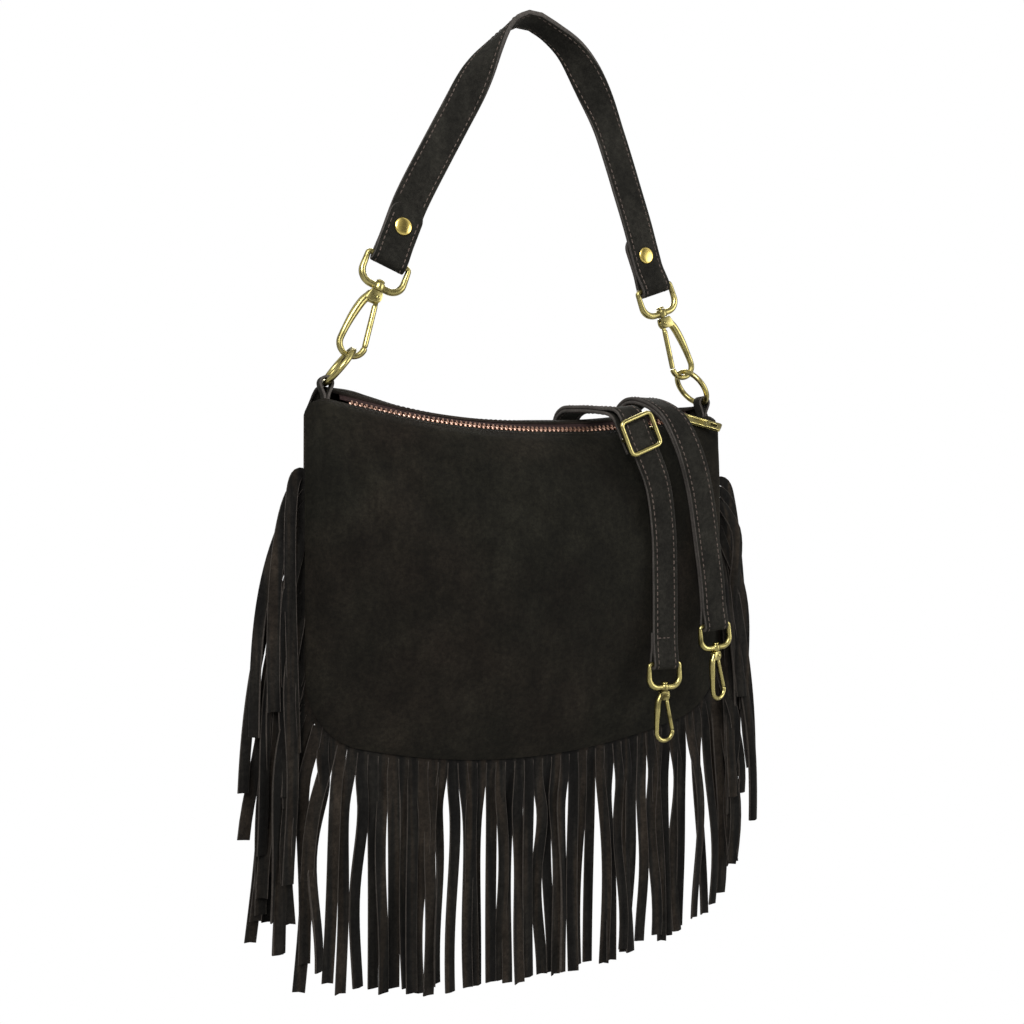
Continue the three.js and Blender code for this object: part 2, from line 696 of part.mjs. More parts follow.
// Tongue and fold of one end, from the tongue tip to the start of the limb
function handleEndSamples(end) {
  const samples = [];
  const across = moved(vec(0, 0, 0), [end.inner, -end.side]);
  const face = vec(0, end.side, 0);
  const layer = (height, sign, width) => {
    const offset = hairpinOffset(height, HANDLE_FOLD, HANDLE_THICKNESS, 15);
    const out = moved(vec(0, 0, 0), [face, sign]);
    samples.push({ at: moved(end.bar, [end.up, height], [out, offset]), across, out, width });
  };
  const tip = [[0, 8], [1.2, 15], [3.5, 20], [7, 23.2]];
  tip.forEach(([back, width]) => layer(TONGUE_LENGTH - back, 1, width));
  [28, 20, 15, 10, 6, 3, 0].forEach((height) => layer(height, 1, HANDLE_WIDTH));
  for (let i = 1; i < 8; i++) {
    const turn = (i / 8) * Math.PI;
    const out = moved(vec(0, 0, 0), [face, Math.cos(turn)], [end.up, -Math.sin(turn)]);
    samples.push({ at: moved(end.bar, [out, HANDLE_FOLD]), across, out, width: HANDLE_WIDTH });
  }
  [0, 3, 6, 10, 15].forEach((height) => layer(height, -1, HANDLE_WIDTH));
  return samples;
}

// Limbs and crown, drawn in the plane of the handle and lifted off it next to the tongues
function handleLimbSamples() {
  const rise = HANDLE_THICKNESS / 2;
  const tall = HANDLE_RISE / 274;
  const wide = BAG_WIDTH / 318;
  const drawn = (list) => list.map(([x, z]) => vec(x * wide, 0, z * tall + rise - 1.5));
  const leftBend = drawn([[-49, -62], [-29, -23.5], [-15, -4.5]]);
  const rightBend = drawn([[17, -3.5], [34, -15], [55, -46], [75, -94]]);
  const start = (end, height) => moved(end.bar, [end.up, height]);
  const flat = [vec(-CROWN_FLAT / 2, 0, rise), vec(CROWN_FLAT / 2, 0, rise)];
  const limb = (points) => new THREE.CatmullRomCurve3(points, false, 'centripetal');
  const left = limb([start(ends.left, 15), start(ends.left, 45), ...leftBend, flat[0]]);
  const right = limb([flat[1], ...rightBend, start(ends.right, 15)]);
  const samples = [];
  const sample = (curve, t, endShare, side) => {
    const at = curve.getPointAt(t);
    const level = endShare === 1;
    const along = level ? X.clone() : curve.getTangentAt(t);
    const turn = (Math.PI / 2) * (1 - smooth(0.5, 0.97, endShare)) * -side;
    const up = along.clone().cross(Y).negate().normalize();
    const out = moved(vec(0, 0, 0), [up, Math.cos(turn)], [Y, Math.sin(turn)]);
    const height = at.distanceTo(side < 0 ? ends.left.bar : ends.right.bar);
    const lift = (1 - smooth(TONGUE_LENGTH, TONGUE_LENGTH + 40, height)) * (HANDLE_THICKNESS + GAP) / 2;
    const across = out.clone().cross(along).normalize();
    samples.push({ at: moved(at, [Y, -side * lift]), across, out, width: HANDLE_WIDTH });
  };
  const steps = 20;
  for (let i = 1; i <= steps; i++) {
    sample(left, i / steps, i / steps, -1);
  }
  for (let i = 0; i < steps; i++) {
    sample(right, i / steps, 1 - i / steps, 1);
  }
  return samples;
}

function handleStrap() {
  const left = handleEndSamples(ends.left);
  const right = handleEndSamples(ends.right).reverse();
  const strap = ribbon([...left, ...handleLimbSamples(), ...right], HANDLE_THICKNESS);
  const holes = Object.values(ends).map((end) => (
    rod(2.1, -12, 12, moved(end.bar, [end.up, RIVET_HEIGHT]), Y)
  ));
  return cut(strap, ...holes);
}

function rivet(end) {
  const face = HANDLE_THICKNESS + GAP / 2 + 0.2;
  const dome = [[RIVET_CAP, 0], [RIVET_CAP, 0.5], [RIVET_CAP * 0.6, 1.5], [0, 1.8]];
  const upper = dome.map(([r, h]) => [r, face + h]);
  const lower = dome.map(([r, h]) => [r, -face - h]).reverse();
  const at = moved(end.bar, [end.up, RIVET_HEIGHT]);
  return turned([...lower, [1.8, -face], [1.8, face], ...upper], at, Y, 12);
}

addPart('handle_strap', handleStrap(), STRAP_SUEDE);
addPart('left_handle_rivet', rivet(ends.left), BRASS, 0.9, 0.35);
addPart('right_handle_rivet', rivet(ends.right), BRASS, 0.9, 0.35);

// Crossbody strap: one single strand, then a doubled run over the top, behind and back

// Place on the strap's route: along the bag, out from its middle and up from its top
function route(x, y, rise) {
  return vec((x * BAG_WIDTH) / 318, (y * BELLY) / 27, Z_TOP + (rise < 0 ? (rise * BAG_HEIGHT) / 244 : rise));
}

const singleBar = route(91, -33.5, -180);
const doubledBar = route(137, -29, -155);
const STRAP_FOLD = STRAP_CLASP.bar + GAP + STRAP_THICKNESS / 2;
const LAYERS = (STRAP_THICKNESS + GAP) / 2;
const BUCKLE_WIRE = 1.6;
const BUCKLE_CLEAR = STRAP_THICKNESS + BUCKLE_WIRE + GAP;
const BUCKLE_AT = 10;
const BUCKLE_HALF = 12;

// Middle of the doubled run, from just below the adjuster to the second clasp
const doubledRun = new THREE.CatmullRomCurve3([
  route(70, -36, -27), route(59.5, -32.5, -4), route(53, -20, 2), route(47, 4, 5.5),
  route(46, 22, 6), route(48, 37, -3), route(59, 60, -65), route(70, 67, -120),
  route(77, 67.5, -146), route(79, 63, -157), route(81, 55, -161), route(83, 47, -157),
  route(85, 42.5, -146), route(88, 42, -115), route(92, 41, -70), route(95, 37, -25),
  route(96, 29, 3), route(96.5, 16, 11), route(97.5, -6, 9), route(102, -27, -3),
  route(110, -35.5, -26), route(119, -35, -52), route(128, -32, -92), route(134, -30, -125),
  doubledBar,
], false, 'centripetal');

function runSample(s, offset, sign) {
  const share = s / doubledRun.getLength();
  const along = doubledRun.getTangentAt(share);
  const out = along.clone().cross(X).normalize();
  const at = moved(doubledRun.getPointAt(share), [out, sign * offset]);
  const across = out.clone().cross(along).normalize();
  return { at, across, out: moved(vec(0, 0, 0), [out, -sign]), width: STRAP_WIDTH };
}

function layerOffset(s, length) {
  const nearBuckle = mix(BUCKLE_CLEAR, LAYERS, smooth(BUCKLE_AT + 10, BUCKLE_AT + 30, s));
  return mix(nearBuckle, STRAP_FOLD, smooth(length - 14, length, s));
}

// Half circle of strap round a bar, starting on the `from` side and passing the end of `along`
function foldSamples(bar, from, along, across) {
  return Array.from({ length: 7 }, (_, i) => {
    const turn = ((i + 1) / 8) * Math.PI;
    const radial = moved(vec(0, 0, 0), [from, Math.cos(turn)], [along, Math.sin(turn)]);
    return { at: moved(bar, [radial, STRAP_FOLD]), across, out: radial.clone().negate(), width: STRAP_WIDTH };
  });
}

// Places along the doubled run, closer together where it turns
function runStops(length, steps) {
  const stops = [0];
  for (let i = 1; i <= steps; i++) {
    const [from, to] = [(i - 1) / steps, i / steps];
    const turn = doubledRun.getTangentAt(from).angleTo(doubledRun.getTangentAt(to));
    const parts = Math.max(1, Math.ceil(turn / 0.45));
    for (let k = 1; k <= parts; k++) {
      stops.push(length * mix(from, to, k / parts));
    }
  }
  return stops;
}

function crossbodyStrap() {
  const length = doubledRun.getLength();
  const outer = [];
  const inner = [];
  for (const s of runStops(length, 44)) {
    outer.push(runSample(s, layerOffset(s, length), -1));
    inner.push(runSample(s, layerOffset(s, length), 1));
  }
  const endAlong = doubledRun.getTangentAt(1);
  const last = outer[outer.length - 1];
  const farFold = foldSamples(doubledBar, moved(vec(0, 0, 0), [last.out, -1]), endAlong, last.across);
  const single = new THREE.CatmullRomCurve3([
    moved(singleBar, [Y, -STRAP_FOLD]), moved(singleBar, [Y, -LAYERS], [Z, 14]), route(91.5, -33.4, -120),
    route(90, -34, -85), route(83, -37, -52), outer[0].at,
  ], false, 'centripetal');
  const tongue = [22, 18, 14, 9, 4, 0].map((height) => ({
    at: moved(singleBar, [Y, hairpinOffset(height, STRAP_FOLD, STRAP_THICKNESS, 14)], [Z, height]),
    across: X, out: Y.clone().negate(), width: STRAP_WIDTH,
  }));
  const nearFold = foldSamples(singleBar, Y, Z.clone().negate(), X);
  const strand = Array.from({ length: 16 }, (_, i) => {
    const along = single.getTangentAt(i / 16);
    const out = along.clone().cross(X).normalize();
    const across = out.clone().cross(along).normalize();
    return { at: single.getPointAt(i / 16), across, out, width: STRAP_WIDTH };
  });
  const start = [...tongue, ...nearFold, ...strand];
  return ribbon([...start, ...outer, ...farFold, ...inner.reverse()], STRAP_THICKNESS);
}

// Adjuster: rounded frame over the strap, its middle bar behind the strap
function buckle() {
  const seat = runSample(BUCKLE_AT, BUCKLE_CLEAR, -1);
  const up = doubledRun.getTangentAt(BUCKLE_AT / doubledRun.getLength());
  const off = seat.out.clone().negate();
  const lift = STRAP_THICKNESS / 2 + GAP + BUCKLE_WIRE;
  const halfWide = STRAP_WIDTH / 2 + 1 + BUCKLE_WIRE;
  const place = (x, h, z) => moved(seat.at, [seat.across, x], [off, h], [up, z]);
  const outline = roundedBox(halfWide, BUCKLE_HALF, 4).map(([x, z]) => place(x, lift, z));
  const frame = wire(outline, BUCKLE_WIRE, off, true);
  const bar = [[-halfWide, lift], [-halfWide, 1.4 - lift], [1.4 - halfWide, -lift], [halfWide - 1.4, -lift],
    [halfWide, 1.4 - lift], [halfWide, lift]];
  return join(frame, wire(bar.map(([x, h]) => place(x, h, 0)), BUCKLE_WIRE - 0.1, up));
}

addPart('crossbody_strap', crossbodyStrap(), STRAP_SUEDE);
addPart('strap_buckle', buckle(), BRASS, 0.9, 0.4);

const singleFrame = new THREE.Matrix4().makeBasis(X, Y, Z);
singleFrame.setPosition(moved(singleBar, [Z, -STRAP_CLASP.height]));
addClasp('single_strap', STRAP_CLASP, singleFrame);
const hang = doubledRun.getTangentAt(1).negate();
const hangAcross = hang.clone().cross(X).cross(hang).normalize();
const doubledFrame = new THREE.Matrix4().makeBasis(hangAcross, hang.clone().cross(hangAcross), hang);
doubledFrame.setPosition(moved(doubledBar, [hang, -STRAP_CLASP.height]));
addClasp('doubled_strap', STRAP_CLASP, doubledFrame, THREE.MathUtils.degToRad(18));

// Fringe: a strip caught in the seam, cut into strands that hang down

const seamLine = [];
for (let z = Z_TOP - FRINGE_START; z > seamHeight(HALF); z -= 4) {
  seamLine.push(vec(-HALF, 0, z));
}
for (let i = 0; i <= 80; i++) {
  const x = -HALF * Math.cos((Math.PI * i) / 80);
  seamLine.push(vec(x, 0, seamHeight(x)));
}
const leftSide = seamLine.filter((p) => p.x === -HALF && p.z > seamHeight(HALF) + 1);
seamLine.push(...leftSide.map((p) => vec(HALF, 0, p.z)).reverse());
const seam = new THREE.CatmullRomCurve3(seamLine, false, 'centripetal');
seam.arcLengthDivisions = 600;
const SEAM_LENGTH = seam.getLength();
const SIDE_LENGTH = seamLine[0].z - seamHeight(HALF) + CORNER_RADIUS * 0.75;

function seamFrame(s) {
  const along = seam.getTangentAt(THREE.MathUtils.clamp(s / SEAM_LENGTH, 0, 1));
  const outward = vec(along.z, 0, -along.x).normalize();
  return { at: seam.getPointAt(THREE.MathUtils.clamp(s / SEAM_LENGTH, 0, 1)), outward };
}

// 0 along the bottom of the bag, 1 up its sides
function seamFlank(s) {
  return smooth(0.15, 0.9, Math.abs(seamFrame(s).outward.x));
}

// Path of one strand: square to the seam at first, then falling; side strands pile outwards in layers
function strandPath(s, i) {
  const { at, outward } = seamFrame(s);
  const root = moved(at, [outward, HEADER]);
  const flank = seamFlank(s);
  const sign = Math.sign(outward.x) || 1;
  const upper = Math.max(0, 1 - Math.min(s, SEAM_LENGTH - s) / SIDE_LENGTH);
  const bulge = sign < 0 ? mix(22, 30, upper) : mix(9, 30, upper ** 0.9);
  const reach = (STRAND_LENGTH / 151) * (flank * sign * bulge + (1 - flank) * 2.5 * Math.sin(0.83 * i));
  const length = STRAND_LENGTH * (1 + 0.025 * wobble(i, 3));
  const layer = LAYER_STEP * ((i % PILE_LAYERS) - (PILE_LAYERS - 1) / 2);
  const depth = mix(4 * Math.sin(1.1 * i), layer, flank);
  const tip = vec(root.x + reach, depth, root.z - length);
  const knee = moved(root, [outward, 4], [Z, -length * 0.24], [X, reach * 0.5], [Y, depth * 0.8]);
  return new THREE.QuadraticBezierCurve3(root, knee, tip);
}

// Cross-sections of strand i below its root at `s` along the seam
function strandRings(s, i) {
  const curve = strandPath(s, i);
  const half = FRINGE_THICKNESS / 2;
  const twist = 0.8 * Math.sin(2.3 * i) * (1 - TWIST_HELD * seamFlank(s));
  return [0.2, 0.55, 1].map((t) => {
    const along = curve.getTangentAt(t);
    const out = Y.clone().applyAxisAngle(along, twist * t);
    out.addScaledVector(along, -out.dot(along)).normalize();
    const across = along.clone().cross(out);
    const wide = (STRAND_WIDTH / 2) * (1 - 0.1 * t);
    return [[-wide, -half], [-wide, half], [wide, half], [wide, -half]].map(([w, h]) =>
      moved(curve.getPointAt(t), [across, w], [out, h]));
  });
}

// Side strip from `from` to `to` along the seam, its strands joined where they lie on each other
function pileFringe(from, to) {
  const count = Math.floor((to - from) / STRAND_PITCH);
  const pitch = (to - from) / count;
  const half = FRINGE_THICKNESS / 2;
  const edge = (s, reach, y) => {
    const { at, outward } = seamFrame(s);
    return moved(at, [outward, reach], [Y, y]);
  };
  const strip = Array.from({ length: PILE_COLUMNS + 1 }, (_, k) => {
    const s = mix(from, to, k / PILE_COLUMNS);
    return [edge(s, -6, -half), edge(s, HEADER, -half), edge(s, HEADER, half), edge(s, -6, half)];
  });
  const strands = Array.from({ length: count }, (_, k) => {
    const middle = from + (k + 0.5) * pitch;
    const wide = (STRAND_WIDTH / 2) * 0.8;
    const held = half * 0.9;
    const [left, right] = [middle - wide, middle + wide];
    const root = [[left, -held], [left, held], [right, held], [right, -held]];
    const rings = strandRings(middle, Math.round(middle / STRAND_PITCH));
    return loft([root.map(([s, y]) => edge(s, HEADER - 1, y)), ...rings]);
  });
  return join(loft(strip), ...strands);
}

// Strip with strands from `from` to `to` along the seam, as one comb
function combFringe(from, to) {
  const count = Math.floor((to - from) / STRAND_PITCH);
  const pitch = (to - from) / count;
  const share = STRAND_WIDTH / STRAND_PITCH;
  const half = FRINGE_THICKNESS / 2;
  const points = [];
  const faces = [];
  const quad = (a, b, c, d) => faces.push(a, b, c, a, c, d);
  const column = (s) => {
    const { at, outward } = seamFrame(s);
    for (const [reach, y] of [[-6, -half], [HEADER, -half], [HEADER, half], [-6, half]]) {
      points.push(moved(at, [outward, reach], [Y, y]));
    }
    return points.length - 4;
  };
  const strand = (root, s, i) => {
    let ring = root;
    for (const section of strandRings(s, i)) {
      const next = section.map((point) => points.push(point) - 1);
      for (let m = 0; m < 4; m++) {
        const n = (m + 1) % 4;
        quad(ring[m], ring[n], next[n], next[m]);
      }
      ring = next;
    }
    quad(...ring);
  };
  let left = column(from);
  quad(left, left + 3, left + 2, left + 1);
  for (let k = 0; k < count; k++) {
    const start = from + k * pitch;
    for (const [end, hanging] of [[start + share * pitch, true], [start + pitch, false]]) {
      const right = column(end);
      quad(left, left + 1, right + 1, right);
      quad(left + 2, left + 3, right + 3, right + 2);
      quad(left + 3, left, right, right + 3);
      if (hanging) {
        const middle = start + (share * pitch) / 2;
        strand([left + 1, left + 2, right + 2, right + 1], middle, Math.round(middle / STRAND_PITCH));
      } else {
        quad(left + 1, left + 2, right + 2, right + 1);
      }
      left = right;
    }
  }
  quad(left, left + 1, left + 2, left + 3);
  return bodyFrom(points, faces);
}

addPart('left_fringe', pileFringe(0, SIDE_LENGTH), SUEDE);
addPart('bottom_fringe', combFringe(SIDE_LENGTH + GAP, SEAM_LENGTH - SIDE_LENGTH - GAP), SUEDE);
addPart('right_fringe', pileFringe(SEAM_LENGTH - SIDE_LENGTH, SEAM_LENGTH), SUEDE);

export default group;
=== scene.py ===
import math
from collections import namedtuple

import bmesh
import bpy
import numpy as np
from bpy.props import FloatProperty, FloatVectorProperty, IntProperty, PointerProperty
from mathutils import Matrix, Vector, noise


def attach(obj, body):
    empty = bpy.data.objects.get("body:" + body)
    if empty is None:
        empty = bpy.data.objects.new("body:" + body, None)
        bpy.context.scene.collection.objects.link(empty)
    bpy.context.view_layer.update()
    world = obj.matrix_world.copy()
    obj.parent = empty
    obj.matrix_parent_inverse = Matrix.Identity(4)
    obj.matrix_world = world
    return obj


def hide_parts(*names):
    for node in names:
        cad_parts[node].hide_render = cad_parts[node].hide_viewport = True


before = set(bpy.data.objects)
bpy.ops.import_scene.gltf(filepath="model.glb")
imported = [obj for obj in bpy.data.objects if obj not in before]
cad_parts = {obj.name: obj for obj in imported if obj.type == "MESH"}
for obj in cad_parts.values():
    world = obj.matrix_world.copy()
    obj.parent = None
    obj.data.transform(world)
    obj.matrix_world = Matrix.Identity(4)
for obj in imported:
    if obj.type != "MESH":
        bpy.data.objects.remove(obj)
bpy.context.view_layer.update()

bl_info = {
    "name": "Fringed suede bag",
    "version": (1, 0, 0),
    "blender": (4, 5, 0),
    "location": "View3D > Sidebar > Bag",
    "description": "Builds the looks of a fringed suede shoulder bag over its CAD frame",
    "category": "Object",
}

# Sizes shared with the CAD model, in millimetres
MM = 0.001
BAG_WIDTH = 318
BAG_HEIGHT = 244
HANDLE_RISE = 274
BOTTOM_CURVE = 28
CORNER_RADIUS = 34
BELLY = 27
SHOULDER = 14
WALL = 1.6
GAP = 0.3
ZIP_MARGIN = 24
ZIP_LENGTH = BAG_WIDTH - 2 * ZIP_MARGIN
ZIP_SAG = 14
ZIP_TILT = math.radians(35)
TOOTH_THICKNESS = 2.4
TAPE_INNER = 3.8
TAPE_WIDTH = 9
TAPE_THICKNESS = 0.8
RING_RADIUS = 14.5
RING_WIRE = 2.1
TAB_WIDTH = 9
TAB_THICKNESS = 1.8
RING_LEAN = math.radians(38)
CLASP_LEAN = math.radians(21)
HANDLE_WIDTH = 24
HANDLE_THICKNESS = 3
TONGUE_LENGTH = 40
RIVET_HEIGHT = 24
RIVET_CAP = 6
STRAP_WIDTH = 20
STRAP_THICKNESS = 2.4
HANDLE_CLASP = {
    "strap": HANDLE_WIDTH, "bar": 1.9, "height": 20, "wire": 2.2,
    "length": 51, "bend": 8.6, "shift": -3,
}
STRAP_CLASP = {
    "strap": STRAP_WIDTH, "bar": 1.6, "height": 17, "wire": 1.7,
    "length": 38, "bend": 6.6, "shift": 0,
}
STRAND_WIDTH = 6
STRAND_PITCH = 7
STRAND_LENGTH = 151
FRINGE_THICKNESS = 1.4
HEADER = 8
HEADER_INSET = 6
HEADER_SHOWN = 3
FRINGE_START = 44

# Places that follow from the sizes
HALF = BAG_WIDTH / 2
Z_TOP = -HANDLE_RISE
Z_BOTTOM = Z_TOP - BAG_HEIGHT
ZIP_HALF = ZIP_LENGTH / 2
ZIP_RADIUS = ZIP_HALF ** 2 / (2 * ZIP_SAG) + ZIP_SAG / 2
ZIP_CENTRE = Z_TOP - ZIP_SAG + ZIP_RADIUS
SEAM_HALF = FRINGE_THICKNESS / 2 + GAP + WALL / 2
FRONT_EDGE = -6
FRONT_TURN = 7
BACK_EDGE = 8.2
TAB_X = HALF - 13
TAB_Z = Z_TOP + 11.5
STRAP_FOLD = STRAP_CLASP["bar"] + GAP + STRAP_THICKNESS / 2
STRAP_LAYERS = (STRAP_THICKNESS + GAP) / 2
BUCKLE_WIRE = 1.6
BUCKLE_CLEAR = STRAP_THICKNESS + BUCKLE_WIRE + GAP
BUCKLE_AT = 10

X_AXIS = Vector((1, 0, 0))
Y_AXIS = Vector((0, 1, 0))
Z_AXIS = Vector((0, 0, 1))
QUARTER = math.pi / 2


def mix(a, b, share):
    """Value between a and b."""
    return a + (b - a) * share


def smooth(start, end, value):
    """Smooth step from 0 at start to 1 at end."""
    share = min(max((value - start) / (end - start), 0), 1)
    return share * share * (3 - 2 * share)


def bump_at(x, centre, width):
    """Smooth bump of height 1."""
    return math.exp(-((x - centre) / width) ** 2)


def wobble(number, channel):
    """Repeatable variation between -1 and 1."""
    wave = math.sin(number * 12.9898 + channel * 78.233) * 43758.5453
    return 2 * (wave - math.floor(wave)) - 1


def between(where, places, table):
    """Row of a table of vectors, read between its places."""
    return Vector(np.interp(where, places, table[:, k]) for k in range(3))


def circle(at, side, other, radius, count):
    """Ring of points round a place, from side towards other."""
    turns = [2 * math.pi * k / count for k in range(count)]
    return [at + (side * math.cos(turn) + other * math.sin(turn)) * radius for turn in turns]


def scaled(points, unit):
    """Flat points made larger or smaller."""
    return [(a * unit, b * unit) for a, b in points]


def mirrored(points):
    """Flat points in reverse, with their second value negative."""
    return [(a, -b) for a, b in reversed(points)]


def both_halves(points):
    """A half section, followed by the same half turned about its middle."""
    return [*points, *(tuple(-value for value in point) for point in points)]


class Path:
    """Centripetal curve through points in millimetres, walked by its length."""

    def __init__(self, points, steps=40):
        line = [2 * points[0] - points[1], *points, 2 * points[-1] - points[-2]]
        dense = []
        for i in range(1, len(line) - 2):
            dense.extend(self._span(line[i - 1:i + 3], steps))
        dense.append(points[-1])
        self.line = np.array([tuple(p) for p in dense])
        legs = np.linalg.norm(np.diff(self.line, axis=0), axis=1)
        self.reach = np.concatenate(([0], np.cumsum(legs)))
        self.length = float(self.reach[-1])

    @staticmethod
    def _span(corners, steps):
        p0, p1, p2, p3 = corners
        d0, d1, d2 = (max((b - a).length, 1e-6) ** 0.5 for a, b in zip(corners, corners[1:]))
        t1 = ((p1 - p0) / d0 - (p2 - p0) / (d0 + d1) + (p2 - p1) / d1) * d1
        t2 = ((p2 - p1) / d1 - (p3 - p1) / (d1 + d2) + (p3 - p2) / d2) * d1
        for k in range(steps):
            t = k / steps
            yield (
                p1 + t * t1 + t * t * (-3 * p1 + 3 * p2 - 2 * t1 - t2)
                + t ** 3 * (2 * p1 - 2 * p2 + t1 + t2)
            )

    def at(self, s):
        """Point at length s."""
        return between(s, self.reach, self.line)

    def along(self, s):
        """Direction of travel at length s."""
        step = min(0.5, self.length / 200)
        return (self.at(s + step) - self.at(s - step)).normalized()


class Draft:
    """Points in millimetres and faces of one piece, with a material number for each face."""

    def __init__(self):
        self.points = []
        self.faces = []
        self.kinds = []

    def add(self, points):
        """Add points and give the number of the first."""
        start = len(self.points)
        self.points.extend(points)
        return start

    def face(self, corners, kind=0):
        """Add one face."""
        self.faces.append(tuple(corners))
        self.kinds.append(kind)

    def loft(self, rings, closed=False, kinds=None):
        """Join rings of points; the ends are capped unless the loft runs round."""
        count = len(rings[0])
        kinds = kinds or [0] * count
        starts = [self.add(ring) for ring in rings]
        spans = len(rings) if closed else len(rings) - 1
        for i in range(spans):
            a = starts[i]
            b = starts[(i + 1) % len(rings)]
            for j in range(count):
                k = (j + 1) % count
                self.face((a + j, a + k, b + k, b + j), kinds[j])
        if not closed:
            self.face([starts[0] + j for j in range(count)])
            self.face([starts[-1] + j for j in reversed(range(count))])

    def wire(self, points, radii, flat, closed=False, sides=14):
        """Round wire of one radius, or one for each point, along points square to flat."""
        count = len(points)
        radii = radii if isinstance(radii, list) else [radii] * count
        rings = []
        for i, at in enumerate(points):
            before = points[(i - 1) % count if closed else max(i - 1, 0)]
            after = points[(i + 1) % count if closed else min(i + 1, count - 1)]
            side = flat.cross((after - before).normalized()).normalized()
            rings.append(circle(at, side, flat, radii[i], sides))
        self.loft(rings, closed)

    def turned(self, profile, at, axis, segments=32):
        """Turned body: profile of (radius, height) pairs from one end to the other."""
        side = axis.orthogonal().normalized()
        other = axis.cross(side)
        self.loft([
            circle(at + axis * height, side, other, max(radius, 0.01), segments)
            for radius, height in profile
        ])

    def piece(self, name, materials, sharp=40, place=None):
        """Mesh object in metres with its faces turned outwards."""
        work = bmesh.new()
        moved = [place @ p for p in self.points] if place else self.points
        corners = [work.verts.new(p * MM) for p in moved]
        for face, kind in zip(self.faces, self.kinds):
            made = work.faces.new([corners[i] for i in face])
            made.material_index = kind
            made.smooth = True
        bmesh.ops.recalc_face_normals(work, faces=work.faces)
        mesh = bpy.data.meshes.new(name)
        work.to_mesh(mesh)
        work.free()
        mesh.set_sharp_from_angle(angle=math.radians(sharp))
        for material in materials:
            mesh.materials.append(material)
        piece = bpy.data.objects.new(name, mesh)
        bpy.context.scene.collection.objects.link(piece)
        return piece


def seat(piece, body, slot, *nodes):
    """Tie a piece to its body and hide the CAD nodes it stands for; its material slot is not used."""
    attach(piece, body)
    if nodes:
        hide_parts(*nodes)
    return piece


# Settings


def colour_setting(name, text, default):
    """Colour in a group of settings."""
    return FloatVectorProperty(
        name=name, description=text, subtype="COLOR", size=3, default=default, min=0, max=1,
    )


def length_setting(name, text, default, least=0):
    """Length in a group of settings."""
    return FloatProperty(name=name, description=f"{text}, in millimetres", default=default, min=least)


# Materials


class Nodes:
    """Nodes of one tree; an input takes a value or the output of another node."""

    def __init__(self, tree):
        self.tree = tree

    def feed(self, target, source):
        """Set an input, or link it."""
        if isinstance(source, bpy.types.NodeSocket):
            self.tree.links.new(source, target)
        else:
            target.default_value = source

    def add(self, kind, inputs=None, **settings):
        """New node with its settings and inputs."""
        node = self.tree.nodes.new("ShaderNode" + kind)
        for key, value in settings.items():
            setattr(node, key, value)
        for key, source in (inputs or {}).items():
            self.feed(node.inputs[key], source)
        return node

    def ramp(self, factor, *stops):
        """Colours along a factor, as (place, colour) pairs."""
        node = self.add("ValToRGB", {"Fac": factor})
        elements = node.color_ramp.elements
        while len(elements) < len(stops):
            elements.new(0.5)
        for element, (place, colour) in zip(elements, stops):
            element.position = place
            element.color = (*colour, 1)
        return node.outputs["Color"]

    def greys(self, factor, *stops):
        """Greys along a factor, as (place, value) pairs."""
        return self.ramp(factor, *((place, (value,) * 3) for place, value in stops))

    def blend(self, factor, a, b, mode="MIX"):
        """Two colours mixed by a factor."""
        node = self.add("Mix", data_type="RGBA", blend_type=mode)
        for key, source in ((0, factor), (6, a), (7, b)):
            self.feed(node.inputs[key], source)
        return node.outputs[2]

    def maths(self, operation, *values):
        """Values combined."""
        return self.add("Math", dict(enumerate(values)), operation=operation).outputs[0]


class Finish(Nodes):
    """Nodes of one surface finish, laid over the object's own place."""

    def __init__(self, name):
        self.material = bpy.data.materials.new(name)
        self.material.use_nodes = True
        super().__init__(self.material.node_tree)
        self.shader = self.tree.nodes["Principled BSDF"]
        self.coords = self.add("TexCoord").outputs["Object"]

    def noise(self, scale, detail, roughness, stretch=(1, 1, 1)):
        """Noise, finer with a larger scale."""
        place = self.add("Mapping", {"Vector": self.coords, "Scale": stretch}).outputs["Vector"]
        inputs = {"Vector": place, "Scale": scale, "Detail": detail, "Roughness": roughness}
        return self.add("TexNoise", inputs).outputs["Fac"]

    def wave(self, scale, axis, distortion):
        """Even bands."""
        inputs = {"Vector": self.coords, "Scale": scale, "Distortion": distortion}
        return self.add("TexWave", inputs, bands_direction=axis).outputs["Fac"]

    def bump(self, height, distance, strength, below=None):
        """Bump from a height, laid over an earlier bump."""
        inputs = {"Height": height, "Distance": distance, "Strength": strength}
        if below:
            inputs["Normal"] = below
        return self.add("Bump", inputs).outputs["Normal"]

    def layers(self, tone, *shares):
        """A tone multiplied by layers, as (share, layer) pairs."""
        for share, layer in shares:
            tone = self.blend(share, tone, layer, "MULTIPLY")
        return tone

    def dress(self, **inputs):
        """Feed the shader and give the material."""
        for key, source in inputs.items():
            self.feed(self.shader.inputs[key.replace("_", " ")], source)
        return self.material


def shade_of(colour, factor):
    """A colour made lighter or darker."""
    return tuple(min(c * factor, 1) for c in colour)


